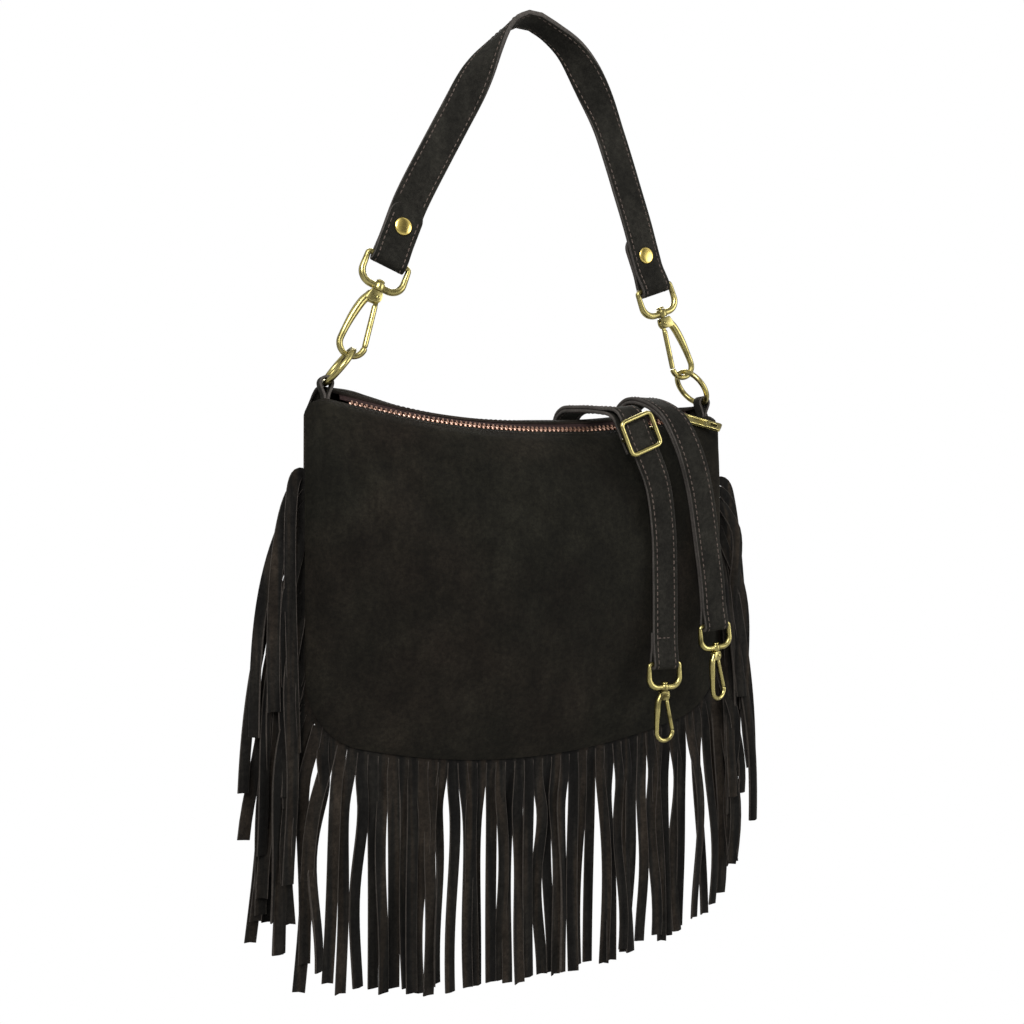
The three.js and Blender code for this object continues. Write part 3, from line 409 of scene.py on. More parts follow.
def suede(name, colour, warm, sheen, strands=False):
    """Napped leather: warm and cool areas, brushed patches, short fibres and a soft sheen."""
    nodes = Finish(name)
    areas = nodes.greys(nodes.noise(7, 4, 0.55), (0.4, 0), (0.62, 1))
    patches = nodes.noise(24, 6, 0.65)
    brushed = nodes.noise(110, 3, 0.55, (1, 1, 0.35))
    grain = nodes.noise(330, 4, 0.7)
    nap = nodes.noise(900, 3, 0.7)
    cool_tone, warm_tone = (
        nodes.ramp(patches, (0.3, shade_of(c, 0.6)), (0.5, c), (0.72, shade_of(c, 1.6)))
        for c in (colour, warm)
    )
    tone = nodes.blend(areas, cool_tone, warm_tone)
    if strands:
        lanes = nodes.noise(150, 2, 0.5, (1, 0.6, 0.03))
        own = nodes.ramp(lanes, (0.4, (0.48, 0.5, 0.54)), (0.5, (1, 1, 1)), (0.6, (1.9, 1.62, 1.42)))
        tone = nodes.layers(tone, (0.9, own))
    tone = nodes.layers(
        tone,
        (0.75, nodes.greys(grain, (0.36, 0.6), (0.64, 1.45))),
        (0.7, nodes.greys(brushed, (0.32, 0.72), (0.68, 1.25))),
        (0.8, nodes.greys(nap, (0.25, 0.62), (0.75, 1.36))),
    )
    return nodes.dress(
        Base_Color=tone, Normal=nodes.bump(nap, 0.0004, 0.8, nodes.bump(brushed, 0.0006, 0.5)),
        Roughness=nodes.greys(nap, (0.2, 0.86), (0.8, 1.0)), Specular_IOR_Level=0.12,
        Sheen_Weight=sheen, Sheen_Roughness=0.45, Sheen_Tint=(*shade_of(colour, 9), 1),
    )


def cut_edge(name, colour):
    """Raw cut edge of leather: paler and fibrous; for the straps and the fringe the colour given is also a
    painted highlight along the edges.
    """
    nodes = Finish(name)
    fibres = nodes.noise(700, 5, 0.7)
    tone = nodes.ramp(fibres, (0.3, shade_of(colour, 0.55)), (0.7, shade_of(colour, 1.35)))
    broad = nodes.greys(nodes.noise(60, 3, 0.5), (0.3, 0.7), (0.7, 1.15))
    return nodes.dress(
        Base_Color=nodes.layers(tone, (0.9, broad)), Normal=nodes.bump(fibres, 0.0004, 0.7),
        Roughness=0.9, Specular_IOR_Level=0.2,
    )


def thread(name, colour):
    """Sewing thread with its twist."""
    nodes = Finish(name)
    twist = nodes.wave(420, "DIAGONAL", 0.6)
    tone = nodes.ramp(twist, (0.1, shade_of(colour, 0.6)), (0.9, shade_of(colour, 1.25)))
    wear = nodes.greys(nodes.noise(90, 4, 0.6), (0.3, 0.65), (0.7, 1.2))
    return nodes.dress(
        Base_Color=nodes.layers(tone, (1.0, wear)), Normal=nodes.bump(twist, 0.0002, 0.6),
        Roughness=0.7, Specular_IOR_Level=0.3,
    )


def metal(name, colour, patina, share, rough):
    """Plated metal with patina in cloudy patches, fine scratches and worn bright spots."""
    nodes = Finish(name)
    cloud = nodes.noise(70, 4, 0.55)
    fine = nodes.noise(420, 3, 0.55)
    scratch = nodes.noise(500, 2, 0.5, (1, 1, 0.08))
    low = 0.5 - 0.22 * (1 - share)
    tone = nodes.ramp(
        cloud, (low - 0.14, patina), (low + 0.04, colour), (low + 0.3, shade_of(colour, 1.12)),
    )
    speck = nodes.greys(fine, (0.3, 0.75), (0.62, 1.0))
    return nodes.dress(
        Base_Color=nodes.layers(tone, (0.5, speck)), Metallic=1.0,
        Roughness=nodes.greys(cloud, (0.3, min(rough * 1.7, 1)), (0.6, rough)),
        Normal=nodes.bump(fine, 0.00005, 0.2, nodes.bump(scratch, 0.00004, 0.25)),
    )


def woven_tape(name, colour):
    """Zip tape: fine twill ribs and a paler thread here and there."""
    nodes = Finish(name)
    weave = nodes.maths("MULTIPLY", nodes.wave(320, "X", 0.8), nodes.wave(260, "DIAGONAL", 1.2))
    tone = nodes.ramp(weave, (0.05, shade_of(colour, 0.5)), (0.6, shade_of(colour, 1.3)))
    lint = nodes.greys(nodes.noise(260, 4, 0.65), (0.3, 0.7), (0.7, 1.25))
    return nodes.dress(
        Base_Color=nodes.layers(tone, (0.9, lint)), Normal=nodes.bump(weave, 0.0003, 0.7),
        Roughness=0.82, Specular_IOR_Level=0.2,
    )


# Panels

# Distances from the side seam between which a form fades, in millimetres
MOUTH_CLOSING = (10.5, 1.5)
BACK_FLATTENING = (40, 12)
BACK_LOWERING = 0.8
CREASE_FADING = (30, 4)
# Fall of the closed mouth for each millimetre across it
MOUTH_SLOPE = 8 / 30
BELLY_LOW = 0.8
BELLY_FULL = 0.8
# Height, middle, width and fading of the bumps in the front's top edge
FRONT_RISES = ((0.6, -112, 24, 0.6), (0.5, 25, 30, 1))
# Depth, middle and width of the dips in the back's top edge
BACK_SAGS = ((10, -52, 48), (2.5, 45, 40), (-2.5, -125, 22))
BACK_FOLD = ((BACK_EDGE, 0), (BACK_EDGE + 5, 0), (BACK_EDGE + 10, -2.5), (BACK_EDGE + 13, -7))
FRONT_FOLD = ((FRONT_EDGE, 0), (FRONT_EDGE - FRONT_TURN, 0))
FOLD_STEPS = 5
# Lean, width and depth of the creases that run down from a tab
TAB_CREASES = ((0.35, 9, 0.9), (0.95, 12, 0.7), (1.9, 15, 0.5))
TAB_FOOT = TAB_Z - 14
CREASE_START = (0, 18)
CREASE_END = (60, 135)
# Width and height of the dents in the suede, and their shares of the crease depth
BROAD_DENT = (85, 60)
SMALL_DENT = (30, 42)
DENT_SHARES = (0.55, 0.65, 0.22)
BACK_SEED = 17.0
SMALL_SEED = 3.7
# Place along a stitch and the thickness there, as shares
STITCH_FORM = ((-0.5, 0.35), (-0.32, 0.9), (0, 1), (0.32, 0.9), (0.5, 0.35))
STITCH_FLAT = 0.75
HEM_ROW = 2
HEM_ENDS = 6
HEM_SHARE = 0.68
HEM_RADIUS = 0.34


def zip_height(x):
    """Height of the zip's middle above x."""
    return ZIP_CENTRE - math.sqrt(ZIP_RADIUS ** 2 - x * x)


def seam_height(x):
    """Height of the bottom seam at x."""
    reach = max(0, abs(x) - (HALF - CORNER_RADIUS))
    corner = CORNER_RADIUS - math.sqrt(max(0, CORNER_RADIUS ** 2 - reach ** 2))
    return Z_BOTTOM + BOTTOM_CURVE * (x / HALF) ** 2 + corner


def shoulder_drop(x):
    """Fall of the bag's shoulders outside the tabs."""
    return SHOULDER * max(0, (abs(x) - TAB_X) / (HALF - TAB_X)) ** 2


def near_side(x, start, end):
    """Share from 0 to 1 between two distances from the side seam."""
    return smooth(HALF - start, HALF - end, abs(x))


def zip_point(x, p, q):
    """Point p across the zip and q off its face, above x."""
    y = p * math.cos(ZIP_TILT) - q * math.sin(ZIP_TILT)
    z = p * math.sin(ZIP_TILT) + q * math.cos(ZIP_TILT)
    return Vector((x, y, zip_height(x) + z))


def polyline(rows, steps):
    """Rows of (p, q) with even steps between them."""
    fine = []
    for (p0, q0), (p1, q1) in zip(rows, rows[1:]):
        fine.extend((mix(p0, p1, k / steps), mix(q0, q1, k / steps)) for k in range(steps))
    return [*fine, rows[-1]]


def panel_point(side, rows, x, row, below):
    """Point of a panel at column x: a row over the tape, or w down the belly."""
    seat_height = TAPE_THICKNESS / 2 + GAP + WALL / 2
    opened = 1 - near_side(x, *MOUTH_CLOSING)
    low = 1 - BACK_LOWERING * near_side(x, *BACK_FLATTENING)

    def edge(p, q):
        if side > 0:
            p, q = mix(BACK_EDGE, p, low), q * low
        spread = zip_point(x, p, q + seat_height)
        drop = MOUTH_SLOPE * (rows[0][0] - p) * side
        closed = Vector((x, side * SEAM_HALF, zip_height(x) - drop))
        return closed.lerp(spread, opened) - Z_AXIS * shoulder_drop(x)

    if row < len(rows):
        return edge(*rows[row])
    w = (row - len(rows) + 1) / below
    start = edge(*rows[-1])
    belly = math.sqrt(max(0, 1 - (x / HALF) ** 2))
    swell = BELLY * belly * max(math.sin(math.pi * w ** BELLY_LOW), 0) ** BELLY_FULL
    y = mix(start.y, side * SEAM_HALF, w) + side * swell
    return Vector((x, y, mix(start.z, seam_height(x), w)))


def edge_wave(side, x, p):
    """Rise of a panel's soft top edge at x, p across the zip; the back sags with its tape."""
    if side < 0:
        share = (FRONT_EDGE - p) / FRONT_TURN
        return sum(
            height * bump_at(x, middle, width) * (1 - fading * share)
            for height, middle, width, fading in FRONT_RISES
        )
    fold = smooth(TAPE_INNER + 2, BACK_FOLD[-1][0], p)
    return -fold * sum(depth * bump_at(x, middle, width) for depth, middle, width in BACK_SAGS)


def crease_depth(x, z, side, depth):
    """How far the suede sinks inwards at a place, in millimetres."""
    seed = BACK_SEED if side > 0 else 0.0
    broad = noise.noise(Vector((x / BROAD_DENT[0] + seed, z / BROAD_DENT[1], seed)))
    small = noise.noise(Vector((x / SMALL_DENT[0], z / SMALL_DENT[1] + seed, SMALL_SEED + seed)))
    even, wide, fine = DENT_SHARES
    sink = depth * (even + wide * broad + fine * small)
    fall = TAB_FOOT - z
    fade = smooth(*CREASE_START, fall) * (1 - smooth(*CREASE_END, fall))
    for corner in (-1, 1):
        for lean, width, share in TAB_CREASES:
            line = corner * (TAB_X - lean * fall)
            sink += depth * share * fade * bump_at(x, line, width)
    return max(sink, 0)


def panel_grid(side, rows, below, columns, depth):
    """Grid of middle points of a creased panel."""
    grid = []
    for row in range(len(rows) + below):
        w = max(0, (row - len(rows) + 1) / below)
        across = rows[min(row, len(rows) - 1)][0]
        line = []
        for column in range(columns + 1):
            x = HALF * math.sin((2 * column / columns - 1) * QUARTER)
            at = panel_point(side, rows, x, row, below)
            fade = smooth(0.0, 0.16, w) * (1 - smooth(0.86, 1, w)) * (1 - near_side(x, *CREASE_FADING))
            sink = crease_depth(x, at.z, side, depth) * fade
            rise = edge_wave(side, x, across) * (1 - smooth(0.0, 0.3, w))
            line.append(at - Y_AXIS * side * sink + Z_AXIS * rise)
        grid.append(line)
    return grid


def sheet_normals(grid):
    """Unit normals of a grid of points."""
    rows, columns = len(grid), len(grid[0])
    normals = []
    for i in range(rows):
        line = []
        for j in range(columns):
            down = grid[min(i + 1, rows - 1)][j] - grid[max(i - 1, 0)][j]
            over = grid[i][min(j + 1, columns - 1)] - grid[i][max(j - 1, 0)]
            line.append(down.cross(over).normalized())
        normals.append(line)
    return normals


def sheet(draft, grid, wall):
    """Sheet of even wall on both sides of a grid, its rim marked as cut edge."""
    normals = sheet_normals(grid)
    rows, columns = len(grid), len(grid[0])
    a, b = (
        draft.add([at + n * wall * sign for line, out in zip(grid, normals) for at, n in zip(line, out)])
        for sign in (0.5, -0.5)
    )
    for i in range(rows - 1):
        for j in range(columns - 1):
            k = i * columns + j
            draft.face((a + k, a + k + columns, a + k + columns + 1, a + k + 1))
            draft.face((b + k, b + k + 1, b + k + columns + 1, b + k + columns))
    rim = [
        *range(columns),
        *(i * columns + columns - 1 for i in range(1, rows)),
        *((rows - 1) * columns + j for j in reversed(range(columns - 1))),
        *(i * columns for i in reversed(range(1, rows - 1))),
    ]
    for corner, follow in zip(rim, [*rim[1:], rim[0]]):
        draft.face((a + corner, a + follow, b + follow, b + corner), 1)


def stitch_row(draft, points, outs, pitch, share, radius):
    """Row of sunk stitches along points, each a short rounded thread over a share of the pitch."""
    line = Path(points, 4)
    steps = np.linspace(0, 1, len(points))
    table = np.array([tuple(out) for out in outs])
    length = pitch * share
    for k in range(int(line.length / pitch)):
        middle = (k + 0.5) * pitch
        out = between(middle / line.length, steps, table).normalized()
        side = line.along(middle).cross(out).normalized()
        rings = []
        for t, size in STITCH_FORM:
            at = line.at(middle + t * length) + out * radius * (0.35 - 1.6 * t * t)
            rings.append(circle(at, side, out * STITCH_FLAT, radius * size, 6))
        draft.loft(rings)


def hem_stitches(draft, side, grid, pitch):
    """Stitches along the top edge of a panel."""
    normals = sheet_normals(grid)
    columns = len(grid[0]) - 1
    sign = 1 if normals[len(grid) // 2][columns // 2].y * side > 0 else -1
    edge = range(HEM_ENDS, columns - HEM_ENDS + 1)
    outs = [normals[HEM_ROW][j] * sign for j in edge]
    points = [grid[HEM_ROW][j] + out * WALL / 2 for j, out in zip(edge, outs)]
    stitch_row(draft, points, outs, pitch, HEM_SHARE, HEM_RADIUS)


class BagPanels(bpy.types.PropertyGroup):
    """Looks of the two suede panels."""
    crease: length_setting("Crease depth", "How deep the suede sinks", 3.4)
    columns: IntProperty(name="Columns", description="Grid columns over a panel", default=132, min=20)
    rows: IntProperty(name="Rows", description="Grid rows down a panel", default=96, min=20)
    colour: colour_setting("Suede", "Base colour of the panels", (0.0078, 0.0073, 0.0050))
    warm: colour_setting("Warm suede", "Colour of the panels' warmer areas", (0.0104, 0.0081, 0.0057))
    stitch_pitch: length_setting("Stitch pitch", "Length of one stitch and gap", 3.6, 1)


class BAG_OT_panels(bpy.types.Operator):
    """Build the front and back panels with their creases and hem stitches"""
    bl_idname = "bag.panels"
    bl_label = "Panels"

    def execute(self, context):
        look = context.scene.bag_panels
        skin = suede("panel_nap", tuple(look.colour), tuple(look.warm), 0.3)
        edge = cut_edge("panel_cut_edge", (0.03, 0.023, 0.018))
        sewing = thread("panel_thread", (0.018, 0.014, 0.012))
        for name, side, fold in (("front", -1, FRONT_FOLD), ("back", 1, BACK_FOLD)):
            rows = polyline(fold, FOLD_STEPS)
            grid = panel_grid(side, rows, look.rows, look.columns, look.crease)
            draft = Draft()
            sheet(draft, grid, WALL)
            panel = draft.piece(f"{name}_panel_suede", [skin, edge], 60)
            seat(panel, "bag", "panel_suede", f"{name}_panel")
            stitches = Draft()
            hem_stitches(stitches, side, grid, look.stitch_pitch)
            seat(stitches.piece(f"{name}_panel_stitches", [sewing]), "bag", "panel_suede")
        return {"FINISHED"}


# Zip

# Place across a tooth with its thickness and half width there, from heel to tip
TOOTH_FORM = (
    (3.3, 0.55, 0.62), (2.9, 0.95, 0.8), (1.6, 0.95, 0.8),
    (0.9, 0.72, 0.66), (0.0, 0.86, 0.7), (-0.55, 0.6, 0.5),
)
TOOTH_SECTION = both_halves([(1, 0.7), (0.7, 1), (-0.7, 1), (-1, 0.7)])
CORD = 0.9
TAPE_SPARE = 2
TAPE_STEPS = 90
TEETH_MARGIN = 3


def bent(x, p, q):
    """Place x along the flat zip, p and q across it, bent onto the bag top."""
    flat = zip_point(0, p, q)
    reach = ZIP_CENTRE - flat.z
    turn = x / ZIP_RADIUS
    return Vector((reach * math.sin(turn), flat.y, ZIP_CENTRE - reach * math.cos(turn)))


def tape(draft, side):
    """Woven tape with a corded inner edge."""
    inner, outer = TAPE_INNER - CORD, TAPE_INNER + TAPE_WIDTH
    half = TAPE_THICKNESS / 2
    upper = [
        (inner, half * 0.5), (inner + 0.5, half * 1.5), (inner + 1.2, half * 1.1), (inner + 2, half * 0.9),
        (mix(inner, outer, 0.6), half * 0.9), (outer, half * 0.8),
    ]
    section = [*upper, *mirrored(upper)]
    reach = ZIP_HALF + TAPE_SPARE
    rings = []
    for k in range(TAPE_STEPS + 1):
        x = mix(-reach, reach, k / TAPE_STEPS)
        sag = [edge_wave(side, x, p) if side > 0 else 0 for p, _ in section]
        rings.append([bent(x, side * p, q) + Z_AXIS * rise for (p, q), rise in zip(section, sag)])
    draft.loft(rings)


def teeth(draft, side, pitch):
    """Separate metal teeth that reach across the middle between those of the other row."""
    count = int((ZIP_LENGTH - 2 * TEETH_MARGIN) / pitch)
    start = -count * pitch / 2 + (pitch / 2 if side > 0 else 0)
    half = TOOTH_THICKNESS / 2
    for k in range(count + 1):
        x = start + k * pitch
        draft.loft([
            [bent(x + dx * wide, side * p, dq * half * thick) for dx, dq in TOOTH_SECTION]
            for p, thick, wide in TOOTH_FORM
        ])


def soften_node(name, material, width):
    """Give a CAD node a metal finish and small rounded edges."""
    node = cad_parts[name]
    if not node.material_slots:
        node.data.materials.append(material)
    for place in node.material_slots:
        place.link = "OBJECT"
        place.material = material
    weld = node.modifiers.new("weld", "WELD")
    weld.merge_threshold = 1e-6
    bevel = node.modifiers.new("edges", "BEVEL")
    bevel.width = width * MM
    bevel.segments = 3
    bevel.limit_method = "ANGLE"
    bevel.angle_limit = math.radians(35)
    bevel.harden_normals = True


class BagZip(bpy.types.PropertyGroup):
    """Looks of the zip."""
    pitch: length_setting("Teeth pitch", "Step between the teeth of one row", 3.4, 2)
    tape_colour: colour_setting("Tape", "Colour of the woven tape", (0.05, 0.028, 0.026))
    teeth_colour: colour_setting("Teeth", "Colour of the metal teeth", (0.58, 0.34, 0.24))


class BAG_OT_zip(bpy.types.Operator):
    """Build the zip tapes and teeth, and finish the slider and puller"""
    bl_idname = "bag.zip"
    bl_label = "Zip"

    def execute(self, context):
        look = context.scene.bag_zip
        cloth = woven_tape("tape_weave", tuple(look.tape_colour))
        copper = metal("teeth_copper", tuple(look.teeth_colour), (0.12, 0.06, 0.045), 0.4, 0.3)
        for name, side in (("front", -1), ("back", 1)):
            band = Draft()
            tape(band, side)
            seat(band.piece(f"zip_tape_{name}_woven", [cloth], 70), "bag", "zip_tape", f"zip_tape_{name}")
            row = Draft()
            teeth(row, side, look.pitch)
            seat(row.piece(f"zip_teeth_{name}_fine", [copper], 50), "bag", "zip_teeth", f"zip_teeth_{name}")
        brass = antique_brass(context)
        soften_node("zip_slider", brass, 0.28)
        soften_node("zip_puller", brass, 0.35)
        return {"FINISHED"}


# Metal fittings

# Forms of the handle's clasps, in millimetres; those of the strap's scale with their wire
CLASP_PIN = Vector((1.4, 0, -7.6))
BOSS_HALF = 3
BOSS = (
    (3.1, -3), (3.5, -2.75), (3.85, -1.7), (3.95, -0.6), (3.95, 0.9), (3.8, 1.8), (3.3, 2.8), (3.0, 3),
)
BOSS_BORE = 1.75
LOOP_CORNER = 2.2
LOOP_ROUND = 0.36
LOOP_STOUT = 0.55
POST = 1.4
POST_HEAD = ((POST, 0), (2.7, 0), (2.9, 0.3), (2.8, 0.9), (2.1, 1.5), (1.1, 1.75), (0, 1.8))
NECK_TOP = (-4.4, 3.6)
CHEEK_LOW = ((4.4, -8), (3, -11.2), (-3.4, -11.6), (-6.4, -10.6))
CHEEK_FACES = (1.6, 3.2)
HOOK_BACK = ((-3.4, -6.2), (-4.4, -8.4), (-6.6, -12.5))
HOOK_STEPS = 70
# Thickness of the hook's wire: near the neck, less at the ring and less at the nose
HOOK_STOUT = 1.3
HOOK_THINNED = 0.11
HOOK_NOSE = 0.14
HOOK_PLAY = 0.5
GATE_EYE = ((2.3, 0.5), (2.0, 0.8), (0, 0.8))
GATE_SECTION = both_halves([(1.5, -0.55), (1.25, -0.8), (-1.25, -0.8), (-1.5, -0.55)])
# Distance from the pin, or from the nose, and radius of the gate's bar
GATE_START = ((4.6, 0.6), (4.9, 1.3), (5.4, 1.75), (6.2, 1.9), (8, 1.9))
GATE_END = ((2.0, 1.9), (0.8, 1.85), (0.25, 1.65), (0, 1.25))
COIL_TURNS = 2
COIL_STEPS = 24
COIL_WIRE = 0.2
RING_STEPS = 72
RING_EASE = 0.95
RIVET_SHANK = 1.8
RIVET_DOME = 1.2
RIVET_LIFT = 0.2
DOUBLED_TURN = math.radians(18)
BUCKLE_HALF = 12
BUCKLE_TURN = 1.4
BUCKLE_CORNER = 4


class BagMetal(bpy.types.PropertyGroup):
    """Looks of the metal fittings."""
    brass: colour_setting("Brass", "Bright colour of the antique brass", (0.47, 0.405, 0.155))
    patina: colour_setting("Patina", "Dark colour in the brass", (0.055, 0.044, 0.016))
    patina_share: FloatProperty(
        name="Patina share", description="How much of the brass is dark", default=0.62, min=0, max=1,
    )
    rivet: colour_setting("Rivet", "Colour of the polished rivet caps", (0.80, 0.62, 0.18))


def antique_brass(context):
    """The brass of every fitting, made once."""
    made = bpy.data.materials.get("worn_brass")
    look = context.scene.bag_metal
    return made or metal("worn_brass", tuple(look.brass), tuple(look.patina), look.patina_share, 0.24)


def frame_matrix(x_axis, y_axis, z_axis, at):
    """Matrix of a local frame, in millimetres."""
    turn = Matrix((x_axis, y_axis, z_axis)).transposed().to_4x4()
    return Matrix.Translation(at) @ turn


def arc_points(centre, radius, start, end, steps):
    """Points on an arc in the local x and z plane."""
    points = []
    for k in range(steps + 1):
        turn = mix(start, end, k / steps)
        points.append(Vector((centre[0] + radius * math.cos(turn), 0, centre[1] + radius * math.sin(turn))))
    return points


def clasp_unit(size):
    """Scale of a clasp against those of the handle."""
    return size["wire"] / HANDLE_CLASP["wire"]


def clasp_loop(draft, size):
    """Rounded loop for the strap, with the boss of the swivel."""
    half = size["strap"] / 2 + 1 + size["bar"]
    height = size["height"]
    top, low = LOOP_CORNER, size["strap"] * LOOP_ROUND
    points = [
        *arc_points((half - top, height - top), top, 0, QUARTER, 7),
        *arc_points((top - half, height - top), top, QUARTER, 2 * QUARTER, 7),
        *arc_points((low - half, low), low, 2 * QUARTER, 3 * QUARTER, 12),
        *arc_points((half - low, low), low, 3 * QUARTER, 4 * QUARTER, 12),
    ]
    stout = [size["bar"] + LOOP_STOUT * (1 - smooth(height * 0.2, height * 0.75, p.z)) for p in points]
    draft.wire(points, stout, Y_AXIS, closed=True, sides=16)
    unit = clasp_unit(size)
    bore = BOSS_BORE * unit
    profile = [(bore, -BOSS_HALF), *BOSS, (bore, BOSS_HALF)]
    draft.turned(scaled(profile, unit), Vector(), Z_AXIS)


def rounded_plate(draft, outline, low, high, bevel):
    """Flat plate of a local x and z outline between two y levels, its rims rounded."""
    middle = sum((Vector((x, 0, z)) for x, z in outline), Vector()) / len(outline)
    insets = [(low, bevel), (low + bevel * 0.3, bevel * 0.3), (low + bevel, 0)]
    insets += [(high + low - y, inset) for y, inset in reversed(insets)]
    rings = []
    for y, inset in insets:
        ring = []
        for x, z in outline:
            at = Vector((x, 0, z))
            ring.append(at + (middle - at).normalized() * inset + Y_AXIS * y)
        rings.append(ring)
    draft.loft(rings)


def rounded_outline(corners, radius, steps=4):
    """Outline with each corner rounded."""
    points = []
    count = len(corners)
    for i, corner in enumerate(corners):
        here = Vector(corner)
        before = Vector(corners[i - 1])
        after = Vector(corners[(i + 1) % count])
        start = here + (before - here).normalized() * radius
        end = here + (after - here).normalized() * radius
        for k in range(steps + 1):
            t = k / steps
            at = start * (1 - t) ** 2 + here * 2 * t * (1 - t) + end * t * t
            points.append((at.x, at.y))
    return points


def clasp_hook(draft, size):
    """Swivel post with its head, forked neck and the bent wire round to the nose."""
    unit = clasp_unit(size)
    shoulder = -BOSS_HALF * unit - GAP
    post = [(0, shoulder - 2), (POST * unit, shoulder - 2)]
    post += [(radius, BOSS_HALF * unit + GAP + height) for radius, height in scaled(POST_HEAD, unit)]
    draft.turned(post, Vector(), Z_AXIS)
    top = [(x * unit, shoulder) for x in NECK_TOP]
    cheek = rounded_outline([*top, *scaled(CHEEK_LOW, unit)], 1.2 * unit)
    for sign in (-1, 1):
        low, high = sorted(sign * face * unit for face in CHEEK_FACES)
        rounded_plate(draft, cheek, low, high, 0.5 * unit)
    block_low = (CLASP_PIN.z + 2.5) * unit + 2 * GAP
    block = rounded_outline([*top, (4 * unit, block_low), (-5 * unit, block_low)], 0.6 * unit)
    rounded_plate(draft, block, -2.6 * unit, 2.6 * unit, 0.4 * unit)
    spine = scaled(HOOK_BACK, unit)
    bend = size["bend"]
    centre = (size["shift"], bend - size["length"])
    spine.append((mix(spine[-1][0], centre[0] - bend, 0.62), mix(spine[-1][1], centre[1], 0.42)))
    points = [Vector((x, 0, z)) for x, z in spine]
    points += arc_points(centre, bend, math.pi * 0.97, 2 * math.pi, 14)
    points.append(points[-1] + Z_AXIS * GAP)
    line = Path(points, 6)
    shares = [i / HOOK_STEPS for i in range(HOOK_STEPS + 1)]
    radii = []
    for share in shares:
        thick = mix(HOOK_STOUT, 1, smooth(0.2, 0.55, share)) - HOOK_THINNED * bump_at(share, 0.82, 0.14)
        radii.append(size["wire"] * thick * (1 - HOOK_NOSE * smooth(0.99, 1, share)))
    draft.wire([line.at(line.length * share) for share in shares], radii, Y_AXIS, sides=18)


def clasp_gate(draft, size):
    """Gate: eye in the fork, then a bar down to the nose."""
    unit = clasp_unit(size)
    pin = CLASP_PIN * unit
    nose = Vector((size["shift"] + size["bend"], 0, size["bend"] - size["length"]))
    down = (nose - pin).normalized()
    eye = pin - Y_AXIS * 0.5 * unit
    half_eye = scaled(GATE_EYE, unit)
    draft.turned([*mirrored(half_eye), *half_eye], eye, Y_AXIS)
    side = Y_AXIS.cross(down).normalized()
    draft.loft([
        [eye + side * a + Y_AXIS * b + down * reach * unit for a, b in scaled(GATE_SECTION, unit)]
        for reach in (0, 3.5, 7)
    ])
    end = (nose - pin).length - 2 * GAP
    bar = scaled(GATE_START, unit) + [(end - back, radius) for back, radius in scaled(GATE_END, unit)]
    draft.wire([pin + down * reach for reach, _ in bar], [radius for _, radius in bar], Y_AXIS, sides=18)


def clasp_gate_pin(draft, size):
    """Riveted pin of the gate, domed at both ends."""
    unit = clasp_unit(size)
    face = CHEEK_FACES[1] * unit + 0.2
    domed = [
        (0.8 * unit, face), (1.5 * unit, face), (1.4 * unit, face + 0.25), (0.9 * unit, face + 0.5),
        (0, face + 0.55),
    ]
    draft.turned([*mirrored(domed), *domed], CLASP_PIN * unit, Y_AXIS, 24)


def clasp_spring(draft, size):
    """Coil spring beside the gate's eye."""
    unit = clasp_unit(size)
    radius = 0.8 * unit + GAP + 0.35 * unit
    at = CLASP_PIN * unit
    last = COIL_TURNS * COIL_STEPS
    points = []
    for i in range(last + 1):
        turn = 2 * math.pi * i / COIL_STEPS
        rise = mix(0.75, 1.15, i / last) * unit
        points.append(at + Vector((radius * math.cos(turn), rise, radius * math.sin(turn))))
    rings = []
    for i, point in enumerate(points):
        along = (points[min(i + 1, last)] - points[max(i - 1, 0)]).normalized()
        out = point - at
        out = (out - along * out.dot(along)).normalized()
        rings.append(circle(point, out, along.cross(out), COIL_WIRE * unit, 8))
    draft.loft(rings)


def handle_end(side):
    """Frames of one handle end; side is -1 at the left and 1 at the right."""
    wire_at = Vector((side * TAB_X, 0, TAB_Z))
    ring_up = Vector((-side * math.sin(RING_LEAN), 0, math.cos(RING_LEAN)))
    up = Vector((-side * math.sin(CLASP_LEAN), 0, math.cos(CLASP_LEAN)))
    inner = Vector((-side * math.cos(CLASP_LEAN), 0, -math.sin(CLASP_LEAN)))
    contact = 2 * RING_RADIUS - RING_WIRE - HANDLE_CLASP["wire"] - HOOK_PLAY
    hooked = wire_at + ring_up * contact
    swivel = hooked + up * HANDLE_CLASP["length"] - inner * HANDLE_CLASP["shift"]
    return {
        "wire": wire_at, "ring_up": ring_up, "up": up, "inner": inner,
        "bar": swivel + up * HANDLE_CLASP["height"], "side": side,
        "frame": frame_matrix(inner, up.cross(inner), up, swivel),
    }


ENDS = {"left": handle_end(-1), "right": handle_end(1)}

# Middle line of the doubled run of the crossbody strap
SINGLE_BAR = Vector((91, -33.5, Z_TOP - 180))
DOUBLED_BAR = Vector((137, -29, Z_TOP - 155))
DOUBLED_RUN = Path([
    Vector((x, y, Z_TOP + z)) for x, y, z in (
        (70, -36, -27), (59.5, -32.5, -4), (53, -20, 0), (47, 4, 2.8), (46, 22, 3.2), (48, 37, -4),
        (59, 60, -65), (70, 67, -120), (77, 67.5, -146), (79, 63, -157), (81, 55, -161), (83, 47, -157),
        (85, 42.5, -146), (88, 42, -115), (92, 41, -70), (95, 37, -25), (96, 29, 3), (96.5, 16, 11),
        (97.5, -6, 9), (102, -27, -3), (110, -35.5, -26), (119, -35, -52), (128, -32, -92), (134, -30, -125),
        (137, -29, -155),
    )
])


